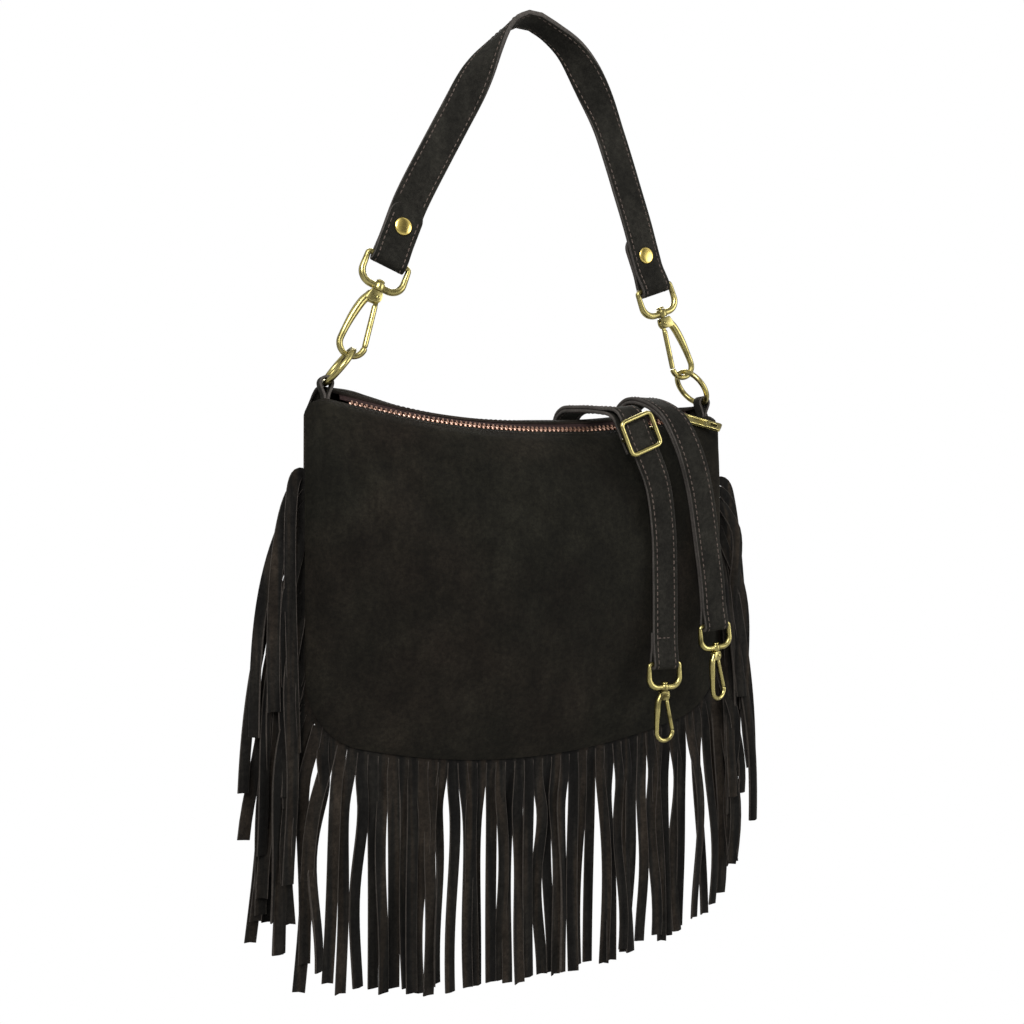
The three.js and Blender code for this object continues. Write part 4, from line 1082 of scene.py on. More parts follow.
def strap_clasp_frames():
    """Swivel frames of the two crossbody clasps."""
    single = frame_matrix(X_AXIS, Y_AXIS, Z_AXIS, SINGLE_BAR - Z_AXIS * STRAP_CLASP["height"])
    hang = -DOUBLED_RUN.along(DOUBLED_RUN.length)
    across = hang.cross(X_AXIS).cross(hang).normalized()
    doubled = frame_matrix(across, hang.cross(across), hang, DOUBLED_BAR - hang * STRAP_CLASP["height"])
    return single, doubled


class BAG_OT_fittings(bpy.types.Operator):
    """Build the rings, the four swivel clasps, the rivets and the adjuster"""
    bl_idname = "bag.fittings"
    bl_label = "Metal fittings"

    def execute(self, context):
        look = context.scene.bag_metal
        self.brass = antique_brass(context)
        self.polished = metal("polished_brass", tuple(look.rivet), shade_of(look.patina, 1.8), 0.15, 0.2)
        self.steel = metal("coil_steel", (0.42, 0.40, 0.37), (0.12, 0.11, 0.1), 0.3, 0.3)
        for name, end in ENDS.items():
            self.ring(name, end)
            self.rivet(name, end)
            self.clasp(name, "handle", HANDLE_CLASP, end["frame"], 0, "handle")
        single, doubled = strap_clasp_frames()
        self.clasp("single", "strap", STRAP_CLASP, single, 0, "single_loop")
        self.clasp("doubled", "strap", STRAP_CLASP, doubled, DOUBLED_TURN, "doubled_loop")
        self.buckle()
        return {"FINISHED"}

    def clasp(self, name, strap, size, place, turn, loop_body):
        """All pieces of one clasp in its frame, the hook turned on the swivel."""
        swivel = place @ Matrix.Rotation(turn, 4, "Z")
        parts = (
            ("loop", clasp_loop, place, loop_body, self.brass, "antique_brass"),
            ("hook", clasp_hook, swivel, f"{name}_hook", self.brass, "antique_brass"),
            ("gate", clasp_gate, swivel, f"{name}_gate", self.brass, "antique_brass"),
            ("gate_pin", clasp_gate_pin, swivel, f"{name}_hook", self.brass, "antique_brass"),
            ("gate_spring", clasp_spring, swivel, f"{name}_hook", self.steel, "spring_steel"),
        )
        for kind, make, matrix, body, material, slot in parts:
            node = f"{name}_{strap}_{kind}"
            draft = Draft()
            make(draft, size)
            seat(draft.piece(f"{node}_smooth", [material], 42, matrix), body, slot, node)

    def ring(self, name, end):
        """Round ring in a tab."""
        centre = end["wire"] + end["ring_up"] * RING_RADIUS
        points = circle(centre, Y_AXIS, end["ring_up"], RING_RADIUS, RING_STEPS)
        draft = Draft()
        draft.wire(points, RING_WIRE * RING_EASE, Y_AXIS.cross(end["ring_up"]), closed=True, sides=20)
        piece = draft.piece(f"{name}_ring_smooth", [self.brass])
        seat(piece, f"{name}_ring", "antique_brass", f"{name}_ring")

    def rivet(self, name, end):
        """Rivet with a low dome on both faces of the handle."""
        face = HANDLE_THICKNESS + GAP / 2 + RIVET_LIFT
        rim, step = RIVET_CAP - 0.1, face + 0.6
        cap = [(RIVET_SHANK, face), (RIVET_CAP - 0.3, face), (RIVET_CAP, face + 0.25), (rim, step)]
        for k in range(1, 9):
            turn = k / 8 * QUARTER
            cap.append((rim * math.cos(turn), step + RIVET_DOME * math.sin(turn)))
        draft = Draft()
        at = end["bar"] + end["up"] * RIVET_HEIGHT
        draft.turned([*mirrored(cap), *cap], at, Y_AXIS, 48)
        piece = draft.piece(f"{name}_rivet_smooth", [self.polished])
        seat(piece, "handle", "rivet_brass", f"{name}_handle_rivet")

    def buckle(self):
        """Strap adjuster: a rounded frame with a bar behind the strap."""
        base = run_sample(BUCKLE_AT, BUCKLE_CLEAR, -1)
        up = DOUBLED_RUN.along(BUCKLE_AT)
        off = -base.out
        lift = STRAP_THICKNESS / 2 + GAP + BUCKLE_WIRE
        half = STRAP_WIDTH / 2 + 1 + BUCKLE_WIRE

        def place(x, h, z):
            return base.at + base.across * x + off * h + up * z

        corners = both_halves([(half, BUCKLE_HALF), (-half, BUCKLE_HALF)])
        outline = rounded_outline(corners, BUCKLE_CORNER, 8)
        draft = Draft()
        draft.wire([place(x, lift, z) for x, z in outline], BUCKLE_WIRE, off, closed=True, sides=16)
        bar = [(half, lift), (half, BUCKLE_TURN - lift), (half - BUCKLE_TURN, -lift)]
        bar = [(-x, h) for x, h in bar] + bar[::-1]
        draft.wire([place(x, h, 0) for x, h in bar], BUCKLE_WIRE - 0.1, up)
        seat(draft.piece("strap_buckle_smooth", [self.brass]), "bag", "antique_brass", "strap_buckle")


# Straps

# One cross section of a strap, in millimetres; a limb's also has its height above the bar
Slice = namedtuple("Slice", "at across out width height", defaults=(None,))
# Share of the half width, inset in millimetres and share of the half thickness, for half a section
STRAP_SECTION = both_halves([
    (1, -0.5, 1), (1, -0.22, 0.8), (1, 0, 0.35), (1, 0, -0.35), (1, -0.22, -0.8), (1, -0.5, -1),
    (0.5, 0, -1.02), (0, 0, -1.03), (-0.5, 0, -1.02),
])
STRAP_EDGES = ([1] * 5 + [0] * 4) * 2
STITCH_SHARE = 0.66
STITCH_RADIUS = 0.42
STITCH_LIFT = 0.02
FOLD_SLICES = 14
HANDLE_CLOSE = 15
FOLD_HEIGHTS = (HANDLE_CLOSE, 12, 10, 8, 6, 4, 2, 0)
TONGUE_TIP = 7
TONGUE_ROUND = 9
TONGUE_SLICES = 9
LIMB_SLICES = 60
LIMB_STRAIGHT = 45
LIMB_SETTLE = 40
LEFT_LIMB = ((-49, -62), (-29, -23.5), (-15, -4.5), (-5, HANDLE_THICKNESS / 2))
RIGHT_LIMB = ((5, HANDLE_THICKNESS / 2), (17, -3.5), (34, -15), (55, -46), (75, -94))
TAB_CLOSE = 10
TAB_HEIGHTS = (17, 14, 12, 10, 8, 6, 4, 2, 0.5)
STRAP_CLOSE = 14
SINGLE_TONGUE = 22
SINGLE_RUN = ((91.5, -33.4, -120), (90, -34, -85), (83, -37, -52))
SINGLE_SLICES = 60
DOUBLED_SLICES = 220
# Distances from a bar to the stitches across the strap
SINGLE_SEAM = 18
DOUBLED_SEAMS = (18, 24)
# Slices of the single run between its stitched tongue and the adjuster
SINGLE_FREE = slice(12, -2)


def ribbon(draft, slices, thickness):
    """Strap with rounded cut edges through its slices."""
    half = thickness / 2
    rings = []
    for cut in slices:
        wide = cut.width / 2
        rings.append([
            cut.at + cut.across * (a * wide + b) + cut.out * c * half for a, b, c in STRAP_SECTION
        ])
    draft.loft(rings, kinds=STRAP_EDGES)


def strap_stitches(draft, slices, thickness, sign, look):
    """Two rows of stitches along one face of a strap."""
    for edge in (-1, 1):
        points = []
        outs = []
        for cut in slices:
            out = cut.out * sign
            reach = edge * (cut.width / 2 - look.inset)
            points.append(cut.at + cut.across * reach + out * (thickness / 2 + STITCH_LIFT))
            outs.append(out)
        stitch_row(draft, points, outs, look.pitch, STITCH_SHARE, STITCH_RADIUS)


def cross_stitches(draft, cut, thickness, sign, look):
    """One row of closer stitches across a strap."""
    reach = cut.width / 2 - look.inset
    out = cut.out * sign
    base = cut.at + out * (thickness / 2 + STITCH_LIFT)
    points = [base + cut.across * mix(-reach, reach, k / 8) for k in range(9)]
    stitch_row(draft, points, [out] * len(points), look.pitch * 0.8, STITCH_SHARE, STITCH_RADIUS)


def hairpin_offset(height, fold, thickness, close_at):
    """Half the spread of a strap folded round a bar."""
    return mix(fold, (thickness + GAP) / 2, smooth(0, close_at, height))


def fold_slices(bar, start, along, across, fold, width, inward):
    """Half circle of strap round a bar; inward turns its face to the bar."""
    slices = []
    for k in range(1, FOLD_SLICES):
        turn = k / FOLD_SLICES * math.pi
        radial = start * math.cos(turn) + along * math.sin(turn)
        slices.append(Slice(bar + radial * fold, across, -radial if inward else radial, width))
    return slices


def handle_end_slices(end):
    """Tongue and fold of one handle end, from the tongue tip to the limb."""
    fold = HANDLE_CLASP["bar"] + GAP + HANDLE_THICKNESS / 2
    across = -end["inner"] * end["side"]
    face = Y_AXIS * end["side"]

    def layer(height, sign, width=HANDLE_WIDTH):
        out = face * sign
        offset = hairpin_offset(height, fold, HANDLE_THICKNESS, HANDLE_CLOSE)
        return Slice(end["bar"] + end["up"] * height + out * offset, across, out, width)

    slices = []
    for k in range(TONGUE_SLICES + 1):
        turn = k / TONGUE_SLICES * QUARTER
        height = TONGUE_LENGTH - TONGUE_ROUND * (1 - math.cos(turn))
        slices.append(layer(height, 1, mix(TONGUE_TIP, HANDLE_WIDTH, math.sin(turn))))
    slices += [layer(height, 1) for height in (28, 24, 20, 17, *FOLD_HEIGHTS)]
    slices += fold_slices(end["bar"], face, -end["up"], across, fold, HANDLE_WIDTH, False)
    slices += [layer(height, -1) for height in reversed(FOLD_HEIGHTS)]
    return slices


def handle_limb_slices():
    """Limbs and crown of the handle, turned a quarter on each limb."""
    left_end, right_end = ENDS["left"], ENDS["right"]

    def above(end, height):
        return end["bar"] + end["up"] * height

    left = Path([
        above(left_end, HANDLE_CLOSE), above(left_end, LIMB_STRAIGHT),
        *(Vector((x, 0, z)) for x, z in LEFT_LIMB),
    ])
    right = Path([*(Vector((x, 0, z)) for x, z in RIGHT_LIMB), above(right_end, HANDLE_CLOSE)])

    def cut(line, share, end_share, end):
        side = end["side"]
        at = line.at(share * line.length)
        along = X_AXIS if end_share == 1 else line.along(share * line.length)
        turn = QUARTER * (1 - smooth(0.5, 0.97, end_share)) * -side
        up = -along.cross(Y_AXIS).normalized()
        out = up * math.cos(turn) + Y_AXIS * math.sin(turn)
        height = (at - end["bar"]).length
        settled = smooth(TONGUE_LENGTH, TONGUE_LENGTH + LIMB_SETTLE, height)
        at = at - Y_AXIS * side * (1 - settled) * (HANDLE_THICKNESS + GAP) / 2
        return Slice(at, out.cross(along).normalized(), out, HANDLE_WIDTH, height)

    shares = [k / LIMB_SLICES for k in range(LIMB_SLICES + 1)]
    return [
        *(cut(left, share, share, left_end) for share in shares[1:]),
        *(cut(right, share, 1 - share, right_end) for share in shares[:-1]),
    ]


def run_sample(s, offset, sign):
    """Slice of one layer of the doubled run at length s."""
    along = DOUBLED_RUN.along(s)
    out = along.cross(X_AXIS).normalized()
    at = DOUBLED_RUN.at(s) + out * sign * offset
    return Slice(at, out.cross(along).normalized(), out * -sign, STRAP_WIDTH)


def layer_offset(s):
    """Half the spread of the doubled run at length s."""
    length = DOUBLED_RUN.length
    near = mix(BUCKLE_CLEAR, STRAP_LAYERS, smooth(BUCKLE_AT + 10, BUCKLE_AT + 30, s))
    return mix(near, STRAP_FOLD, smooth(length - STRAP_CLOSE, length, s))


class BagStraps(bpy.types.PropertyGroup):
    """Looks of the handle, the crossbody strap and the tabs."""
    colour: colour_setting("Suede", "Base colour of the straps", (0.0118, 0.0110, 0.0088))
    thread: colour_setting("Thread", "Colour of the stitching", (0.105, 0.078, 0.064))
    pitch: length_setting("Stitch pitch", "Length of one stitch and gap", 4.4, 1)
    inset: length_setting("Stitch inset", "Stitch row to strap edge", 3.0, 0.5)


def strap_materials(context):
    """Suede face, cut edge and thread of every strap, made once; the cut edge is paler partly as raw leather
    and partly as a painted highlight along the strap edges.
    """
    look = context.scene.bag_straps
    made = bpy.data.materials.get
    face = made("strap_nap") or suede("strap_nap", tuple(look.colour), shade_of(look.colour, 1.2), 0.32)
    # Cut edge colour: partly the paler raw suede, partly a painted highlight along the strap edges.
    edge = made("strap_cut_edge") or cut_edge("strap_cut_edge", (0.07, 0.062, 0.055))
    sewing = made("strap_thread") or thread("strap_thread", tuple(look.thread))
    return face, edge, sewing


class BAG_OT_handle(bpy.types.Operator):
    """Build the handle strap with its stitching, and the two ring tabs"""
    bl_idname = "bag.handle"
    bl_label = "Handle and tabs"

    def execute(self, context):
        look = context.scene.bag_straps
        face, edge, sewing = strap_materials(context)
        left = handle_end_slices(ENDS["left"])
        right = reversed(handle_end_slices(ENDS["right"]))
        limbs = handle_limb_slices()
        slices = [*left, *limbs, *right]
        draft = Draft()
        ribbon(draft, slices, HANDLE_THICKNESS)
        strap = draft.piece("handle_strap_suede", [face, edge], 50)
        seat(strap, "handle", "strap_suede", "handle_strap")
        stitches = Draft()
        free = [cut for cut in limbs if cut.height > TONGUE_LENGTH + 2]
        strap_stitches(stitches, slices[TONGUE_SLICES:-TONGUE_SLICES], HANDLE_THICKNESS, 1, look)
        strap_stitches(stitches, free, HANDLE_THICKNESS, -1, look)
        sewn = stitches.piece("handle_stitches", [sewing])
        seat(sewn, "handle", "strap_suede")
        for name, end in ENDS.items():
            self.tab(name, end, face, edge)
        return {"FINISHED"}

    def tab(self, name, end, face, edge):
        """Short strap folded over a ring, its ends caught between the panels."""
        slack = RING_RADIUS - math.sqrt(RING_RADIUS ** 2 - (TAB_WIDTH / 2) ** 2)
        fold = RING_WIRE + slack + GAP + TAB_THICKNESS / 2

        def leg(height, side):
            out = X_AXIS * side
            offset = hairpin_offset(height, fold, TAB_THICKNESS, TAB_CLOSE)
            return Slice(end["wire"] - Z_AXIS * height + out * offset, Y_AXIS, out, TAB_WIDTH)

        slices = [leg(height, -1) for height in TAB_HEIGHTS]
        for k in range(17):
            turn = math.pi * (1 - k / 16)
            out = Vector((math.cos(turn), 0, math.sin(turn)))
            slices.append(Slice(end["wire"] + out * fold, Y_AXIS, out, TAB_WIDTH))
        slices += [leg(height, 1) for height in reversed(TAB_HEIGHTS)]
        draft = Draft()
        ribbon(draft, slices, TAB_THICKNESS)
        seat(draft.piece(f"{name}_tab_suede", [face, edge], 50), "bag", "strap_suede", f"{name}_tab")


class BAG_OT_crossbody(bpy.types.Operator):
    """Build the long crossbody strap draped over the zip, with its stitching"""
    bl_idname = "bag.crossbody"
    bl_label = "Crossbody strap"

    def execute(self, context):
        look = context.scene.bag_straps
        face, edge, sewing = strap_materials(context)
        length = DOUBLED_RUN.length
        steps = [length * k / DOUBLED_SLICES for k in range(DOUBLED_SLICES + 1)]
        outer, inner = ([run_sample(s, layer_offset(s), sign) for s in steps] for sign in (-1, 1))
        last = outer[-1]
        far_fold = fold_slices(
            DOUBLED_BAR, -last.out, DOUBLED_RUN.along(length), last.across, STRAP_FOLD, STRAP_WIDTH, True,
        )
        near_fold = fold_slices(SINGLE_BAR, Y_AXIS, -Z_AXIS, X_AXIS, STRAP_FOLD, STRAP_WIDTH, True)
        strand = self.single_run(outer[0].at)
        slices = [*self.tongue(), *near_fold, *strand, *outer, *far_fold, *reversed(inner)]
        draft = Draft()
        ribbon(draft, slices, STRAP_THICKNESS)
        strap = draft.piece("crossbody_strap_suede", [face, edge], 50)
        seat(strap, "bag", "strap_suede", "crossbody_strap")
        stitches = Draft()
        strap_stitches(stitches, slices, STRAP_THICKNESS, -1, look)
        strap_stitches(stitches, strand[SINGLE_FREE], STRAP_THICKNESS, 1, look)
        levels = [min(strand, key=lambda cut: abs(cut.at.z - SINGLE_BAR.z - SINGLE_SEAM))]
        for back in DOUBLED_SEAMS:
            levels.append(min(outer[-40:], key=lambda cut: abs((cut.at - last.at).length - back)))
        for cut in levels:
            cross_stitches(stitches, cut, STRAP_THICKNESS, -1, look)
        sewn = stitches.piece("crossbody_stitches", [sewing])
        seat(sewn, "bag", "strap_suede")
        return {"FINISHED"}

    def tongue(self):
        """Turned end behind the single clasp, down to its bar."""
        slices = []
        for height in range(SINGLE_TONGUE, -1, -2):
            offset = hairpin_offset(height, STRAP_FOLD, STRAP_THICKNESS, STRAP_CLOSE)
            at = SINGLE_BAR + Y_AXIS * offset + Z_AXIS * height
            slices.append(Slice(at, X_AXIS, -Y_AXIS, STRAP_WIDTH))
        return slices

    def single_run(self, end):
        """Single layer from its clasp up to the adjuster."""
        line = Path([
            SINGLE_BAR - Y_AXIS * STRAP_FOLD, SINGLE_BAR - Y_AXIS * STRAP_LAYERS + Z_AXIS * STRAP_CLOSE,
            *(Vector((x, y, Z_TOP + z)) for x, y, z in SINGLE_RUN), end,
        ])
        slices = []
        for k in range(SINGLE_SLICES):
            s = line.length * k / SINGLE_SLICES
            along = line.along(s)
            out = along.cross(X_AXIS).normalized()
            slices.append(Slice(line.at(s), out.cross(along).normalized(), out, STRAP_WIDTH))
        return slices


# Fringe

SEAM_STEP = 4
SEAM_STEPS = 80
# How far sideways the seam faces where strands change from the bottom row to a side bundle
FLANK_SLOPE = (0.15, 0.9)
# Reach of the side bundles at the seam's lower end and at its top, in millimetres
LEFT_BULGE = (27, 31)
RIGHT_BULGE = (12, 30)
RIGHT_GROWTH = 0.9
# Least and greatest share of that reach; a lower crowding brings more strands near the greatest
NEARNESS = (0.35, 1.03)
LEFT_CROWDING = 0.5
RIGHT_CROWDING = 0.9
# Share of that reach for each of a bundle's layers, from front to back
LAYERS = (0.25, 0.5, 1, 1, 1, 1)
LAYER_DEPTH = 3.2
# Strands under the bag: how far they wander sideways and in depth, and how fast from one to the next
LOW_REACH = 2.5
LOW_REACH_PACE = 0.83
LOW_DEPTH = 4
LOW_DEPTH_PACE = 1.1
CLUMP = 3
CLUMP_DEPTH = 1.6
# Unevenness of the strands' lengths, and what the side strands are longer by
UNEVEN = 0.03
SIDE_SPARE = (0.1, 0.15)
SPARE_FROM = (0.05, 0.35)
# Share of the side where strands begin to arch over, and their knees below and above it
ARCH_FROM = (0.82, 0.97)
KNEE_OUT = (4, 9)
KNEE_FALL = (0.24, -0.03)
# Numbers that keep the strands' variations apart
PHASE, PACE, LENGTH, WIDTH, TWIST, CURL, STRENGTH, PULL, SPARE, NEAR = 1, 2, 3, 4, 5, 6, 7, 9, 11, 12
# Width of a strand against its cut width, and by how much it varies and narrows
SPREAD_WIDTH = 1.36
WIDTH_CHANGE = 0.12
NARROWING = 0.06
CURL_HEIGHT = 1.1
# One strand at the right that stands away from the bundle
FLYAWAY_ROOT = -363
FLYAWAY_REACH = 13
STRAND_SECTION = both_halves([(-1, -0.6), (-0.9, -1), (0, -1), (0.9, -1), (1, -0.6)])
STRAND_EDGES = [1, 0, 0, 1, 1] * 2


def seam_path():
    """Line of the seam from the left side, under the bag, to the right side."""
    points = []
    z = Z_TOP - FRINGE_START
    low = seam_height(HALF)
    while z > low:
        points.append(Vector((-HALF, 0, z)))
        z -= SEAM_STEP
    sides = [p.z for p in points if p.z > low + 1]
    for k in range(SEAM_STEPS + 1):
        x = -HALF * math.cos(math.pi * k / SEAM_STEPS)
        points.append(Vector((x, 0, seam_height(x))))
    points.extend(Vector((HALF, 0, level)) for level in reversed(sides))
    return Path(points, 8)


SEAM = seam_path()
SIDE_LENGTH = Z_TOP - FRINGE_START - seam_height(HALF) + CORNER_RADIUS * 0.75


def seam_frame(s):
    """Point of the seam at s and the direction away from the bag."""
    along = SEAM.along(s)
    return SEAM.at(s), Vector((along.z, 0, -along.x)).normalized()


def fringe_header(draft, start, end):
    """Uncut strip that is caught in the seam."""
    half = FRINGE_THICKNESS / 2
    section = [(-HEADER_INSET, -half), (HEADER_SHOWN, -half), (HEADER_SHOWN, half), (-HEADER_INSET, half)]
    count = int((end - start) / 2)
    rings = []
    for k in range(count + 1):
        at, outward = seam_frame(mix(start, end, k / count))
        rings.append([at + outward * reach + Y_AXIS * y for reach, y in section])
    draft.loft(rings, kinds=[0, 1, 0, 1])


def strand_course(s, number, look):
    """Start, knee and tip of a strand, and its share in a side bundle."""
    at, outward = seam_frame(s)
    root = at + outward * (HEADER - 1)
    flank = smooth(*FLANK_SLOPE, abs(outward.x))
    upper = max(0, 1 - min(s, SEAM.length - s) / SIDE_LENGTH)
    chance = 0.5 + 0.5 * wobble(number, NEAR)
    layer = number % len(LAYERS)
    if outward.x < 0:
        sign, bulge, near = -1, mix(*LEFT_BULGE, upper), chance ** LEFT_CROWDING
    else:
        sign, bulge, near = 1, mix(*RIGHT_BULGE, upper ** RIGHT_GROWTH), chance ** RIGHT_CROWDING
    near = mix(*NEARNESS, near) * LAYERS[layer]
    spare = SIDE_SPARE[0] + SIDE_SPARE[1] * wobble(number, SPARE)
    spare *= flank * smooth(*SPARE_FROM, upper)
    length = STRAND_LENGTH * (1 + UNEVEN * wobble(number, LENGTH) + spare)
    lean = (1 - flank) * (number % CLUMP - 1) * (0.5 + 0.5 * wobble(number // CLUMP, PULL))
    reach = sign * flank * bulge * near + (1 - flank) * LOW_REACH * math.sin(LOW_REACH_PACE * number)
    reach -= lean * look.clump
    low_depth = LOW_DEPTH * math.sin(LOW_DEPTH_PACE * number)
    depth = mix(low_depth, LAYER_DEPTH * (layer - (len(LAYERS) - 1) / 2), flank)
    depth += lean * CLUMP_DEPTH
    if sign > 0 and abs(root.z - FLYAWAY_ROOT) < STRAND_PITCH / 2:
        reach += FLYAWAY_REACH
    tip = Vector((root.x + reach, depth, root.z - length))
    arch = flank * smooth(*ARCH_FROM, upper)
    knee = root + outward * mix(*KNEE_OUT, arch) - Z_AXIS * length * mix(*KNEE_FALL, arch)
    knee += X_AXIS * reach * 0.5 + Y_AXIS * depth * 0.8
    return at + outward * (HEADER_SHOWN - 1), knee, tip, flank


def strand_phase(number):
    """Turn at which a strand's waves start."""
    return 3.1 * wobble(number, PHASE)


def strand_line(course, number, look):
    """Middle points of a strand in slow waves."""
    first, knee, tip, flank = course
    phase = strand_phase(number)
    pace = 2 * math.pi * (1.1 + 0.6 * wobble(number, PACE))
    points = []
    for k in range(look.steps + 1):
        t = k / look.steps
        base = first * (1 - t) ** 2 + knee * 2 * t * (1 - t) + tip * t * t
        wave = math.sin(pace * t + phase) - math.sin(phase)
        cup = math.sin(pace * 0.8 * t + 1.7 * phase) - math.sin(1.7 * phase)
        sway = look.sway * mix(1, 1.7, flank) * smooth(0, 0.35, t)
        points.append(base + (X_AXIS * wave * 0.6 + Y_AXIS * cup) * sway)
    return points


def fringe_strand(draft, s, number, look):
    """One strand: square to the seam at first, then falling, twisted and curled."""
    points = strand_line(strand_course(s, number, look), number, look)
    twist = look.twist * wobble(number, TWIST) * (1 if wobble(number, STRENGTH) > 0.45 else 0.25)
    wide = STRAND_WIDTH / 2 * (SPREAD_WIDTH + WIDTH_CHANGE * wobble(number, WIDTH))
    bent_to = 1 if wobble(number, CURL) > -0.3 else -1
    phase = strand_phase(number)
    rings = []
    for k, point in enumerate(points):
        t = k / look.steps
        along = (points[min(k + 1, look.steps)] - points[max(k - 1, 0)]).normalized()
        turn = twist * smooth(0.02, 0.9, t)
        across = along.cross(Y_AXIS).normalized()
        out = across.cross(along).normalized()
        side = across * math.cos(turn) + out * math.sin(turn)
        face_out = side.cross(along).normalized()
        half = mix(STRAND_PITCH / 2, wide * (1 - NARROWING * t), smooth(0, 0.15, t))
        curl = bent_to * smooth(0, 0.1, t) * (CURL_HEIGHT + math.sin(5 * t + phase))
        rings.append([
            point + side * half * a + face_out * (FRINGE_THICKNESS / 2 * b + curl * (1 - a * a))
            for a, b in STRAND_SECTION
        ])
    draft.loft(rings, kinds=STRAND_EDGES)


class BagFringe(bpy.types.PropertyGroup):
    """Looks of the fringe."""
    colour: colour_setting("Suede", "Base colour of the fringe", (0.0086, 0.0077, 0.0064))
    sway: length_setting("Sway", "Waves along a strand", 2.2)
    twist: FloatProperty(
        name="Twist", description="Largest turn of a strand along its length", default=1.0,
        subtype="ANGLE", min=0,
    )
    clump: length_setting("Clump", "How far strands lean to their neighbours", 2.0)
    steps: IntProperty(name="Steps", description="Rings along one strand", default=22, min=4)


class BAG_OT_fringe(bpy.types.Operator):
    """Build the fringe strip in the seam and its hanging strands"""
    bl_idname = "bag.fringe"
    bl_label = "Fringe"

    def execute(self, context):
        look = context.scene.bag_fringe
        face = suede("fringe_nap", tuple(look.colour), shade_of(look.colour, 1.15), 0.3, True)
        # Cut edge colour: partly the paler raw suede, partly a painted highlight that lights the strands'
        # sides.
        edge = cut_edge("fringe_cut_edge_painted_highlight", (0.045, 0.038, 0.032))
        ranges = {
            "left": (0, SIDE_LENGTH),
            "bottom": (SIDE_LENGTH + GAP, SEAM.length - SIDE_LENGTH - GAP),
            "right": (SEAM.length - SIDE_LENGTH, SEAM.length),
        }
        for name, (start, end) in ranges.items():
            draft = Draft()
            fringe_header(draft, start, end)
            count = int((end - start) / STRAND_PITCH)
            pitch = (end - start) / count
            for k in range(count):
                middle = start + k * pitch + STRAND_WIDTH / STRAND_PITCH * pitch / 2
                fringe_strand(draft, middle, round(middle / STRAND_PITCH), look)
            piece = draft.piece(f"{name}_fringe_strands", [face, edge], 55)
            seat(piece, "bag", "fringe_suede", f"{name}_fringe")
        return {"FINISHED"}


# Stage

# Place, size and power of each lamp, in metres and watts
LAMPS = {
    "key": ((-0.9, -1.3, 0.55), 0.9, 26),
    "fill": ((1.3, -1.1, -0.1), 1.2, 12),
    "rim": ((0.5, 1.3, 0.6), 0.9, 16),
}
LAMP_AIM = Vector((0, 0, -0.36))
SENSOR = 36
FLOOR_SIZE = 6
# Turn that puts one pale quarter of the surround behind the camera
LOBES_TURN = -4.59


class BagStage(bpy.types.PropertyGroup):
    """Camera and light."""
    camera: FloatVectorProperty(
        name="Camera", description="Place of the camera", subtype="TRANSLATION", size=3, unit="LENGTH",
        default=(-0.3097, -0.6567, -0.346),
    )
    heading: FloatProperty(
        name="Heading", description="Turn of the view from straight at the front", subtype="ANGLE",
        default=math.atan2(0.4115, 0.9114),
    )
    lens: FloatProperty(name="Lens", description="Focal length in millimetres", default=36.1, min=10)
    floor: FloatProperty(
        name="Floor", description="Height of the floor", subtype="DISTANCE", unit="LENGTH", default=-0.76,
    )


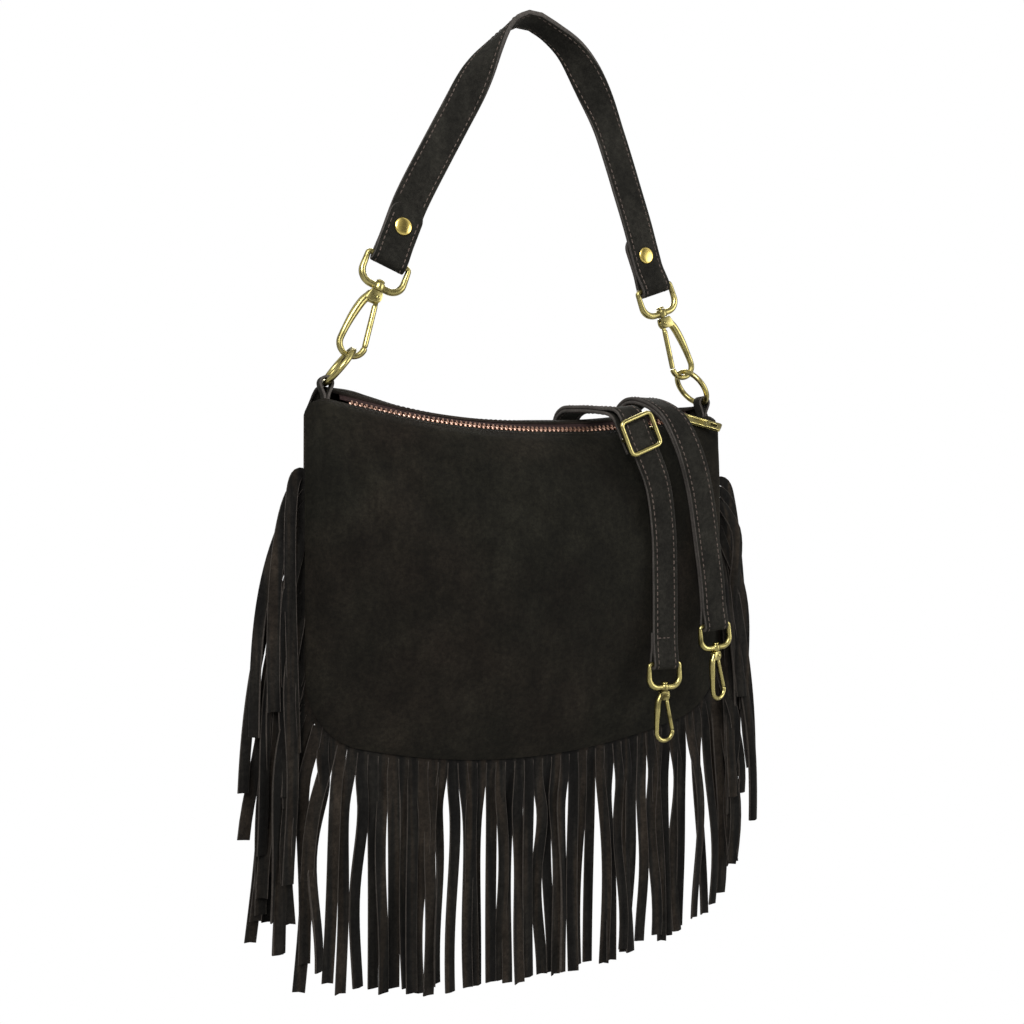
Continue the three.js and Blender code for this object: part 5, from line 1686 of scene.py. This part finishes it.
class BAG_OT_stage(bpy.types.Operator):
    """Set the camera, the pale floor, the white surround and the soft lights"""
    bl_idname = "bag.stage"
    bl_label = "Stage"

    def execute(self, context):
        scene = context.scene
        look = scene.bag_stage
        lens = bpy.data.cameras.new("camera")
        lens.lens = look.lens
        lens.sensor_width = SENSOR
        camera = bpy.data.objects.new("camera", lens)
        camera.location = look.camera
        camera.rotation_euler = (QUARTER, 0, -look.heading)
        scene.collection.objects.link(camera)
        scene.camera = camera
        self.floor(scene, look.floor)
        self.surround(scene)
        for name, (place, size, power) in LAMPS.items():
            self.lamp(scene, name, Vector(place), size, power)
        scene.view_settings.view_transform = "Standard"
        return {"FINISHED"}

    def floor(self, scene, height):
        """Pale floor that is white to the camera."""
        work = bmesh.new()
        bmesh.ops.create_grid(work, x_segments=4, y_segments=4, size=FLOOR_SIZE)
        bmesh.ops.translate(work, verts=work.verts, vec=(0, 0, height))
        mesh = bpy.data.meshes.new("floor")
        work.to_mesh(mesh)
        work.free()
        nodes = Finish("pale_floor")
        tone = nodes.greys(nodes.noise(3, 2, 0.6), (0.3, 0.42), (0.7, 0.46))
        mesh.materials.append(nodes.dress(Base_Color=tone, Roughness=0.9))
        seen = nodes.add("LightPath").outputs["Is Camera Ray"]
        glow = nodes.add("Emission").outputs[0]
        both = nodes.add("MixShader", {0: seen, 1: nodes.shader.outputs[0], 2: glow}).outputs[0]
        nodes.feed(nodes.tree.nodes["Material Output"].inputs["Surface"], both)
        floor = bpy.data.objects.new("floor", mesh)
        scene.collection.objects.link(floor)

    def surround(self, scene):
        """White to the camera; for the bag paler above and in four quarters, with dark ones between."""
        world = bpy.data.worlds.new("surround")
        scene.world = world
        world.use_nodes = True
        nodes = Nodes(world.node_tree)
        back = nodes.tree.nodes["Background"]
        place = nodes.add("TexCoord").outputs["Generated"]
        seen = nodes.add("LightPath").outputs["Is Camera Ray"]
        height = nodes.add("SeparateXYZ", {0: place}).outputs["Z"]
        rise = nodes.maths("MULTIPLY_ADD", height, 0.5, 0.5)
        sky = nodes.ramp(rise, (0.2, (0.16, 0.16, 0.165)), (0.9, (0.62, 0.62, 0.63)))
        nodes.feed(back.inputs["Color"], nodes.blend(seen, sky, (1, 1, 1, 1)))
        around = nodes.add("TexGradient", {"Vector": place}, gradient_type="RADIAL").outputs["Fac"]
        lobes = nodes.maths("COSINE", nodes.maths("MULTIPLY_ADD", around, 8 * math.pi, LOBES_TURN))
        level = nodes.maths("MULTIPLY_ADD", lobes, 0.8, 1)
        nodes.feed(back.inputs["Strength"], nodes.add("Mix", {0: seen, 2: level, 3: 1}).outputs[0])

    def lamp(self, scene, name, place, size, power):
        """Round soft light aimed at the bag."""
        light = bpy.data.lights.new(name, "AREA")
        light.shape = "DISK"
        light.size = size
        light.energy = power
        holder = bpy.data.objects.new(name, light)
        holder.location = place
        holder.rotation_euler = (LAMP_AIM - place).to_track_quat("-Z", "Y").to_euler()
        scene.collection.objects.link(holder)


STEPS = ("panels", "zip", "fittings", "handle", "crossbody", "fringe", "stage")
GROUPS = {
    "bag_panels": BagPanels, "bag_zip": BagZip, "bag_metal": BagMetal, "bag_straps": BagStraps,
    "bag_fringe": BagFringe, "bag_stage": BagStage,
}


class BAG_PT_looks(bpy.types.Panel):
    """Sidebar with the bag's settings and steps"""
    bl_idname = "BAG_PT_looks"
    bl_label = "Fringed bag"
    bl_space_type = "VIEW_3D"
    bl_region_type = "UI"
    bl_category = "Bag"

    def draw(self, context):
        for step in STEPS:
            self.layout.operator(f"bag.{step}")
        for key, group in GROUPS.items():
            box = self.layout.box()
            for name in group.__annotations__:
                box.prop(getattr(context.scene, key), name)


CLASSES = (
    *GROUPS.values(), BAG_OT_panels, BAG_OT_zip, BAG_OT_fittings, BAG_OT_handle, BAG_OT_crossbody,
    BAG_OT_fringe, BAG_OT_stage, BAG_PT_looks,
)


def register():
    """Register the classes and their settings on the scene."""
    for kind in CLASSES:
        bpy.utils.register_class(kind)
    for key, group in GROUPS.items():
        setattr(bpy.types.Scene, key, PointerProperty(type=group))


def unregister():
    """Remove the settings and the classes."""
    for key in GROUPS:
        delattr(bpy.types.Scene, key)
    for kind in reversed(CLASSES):
        bpy.utils.unregister_class(kind)


def main():
    """Build the bag and its stage."""
    register()
    for step in STEPS:
        getattr(bpy.ops.bag, step)()


if __name__ == "__main__":
    main()
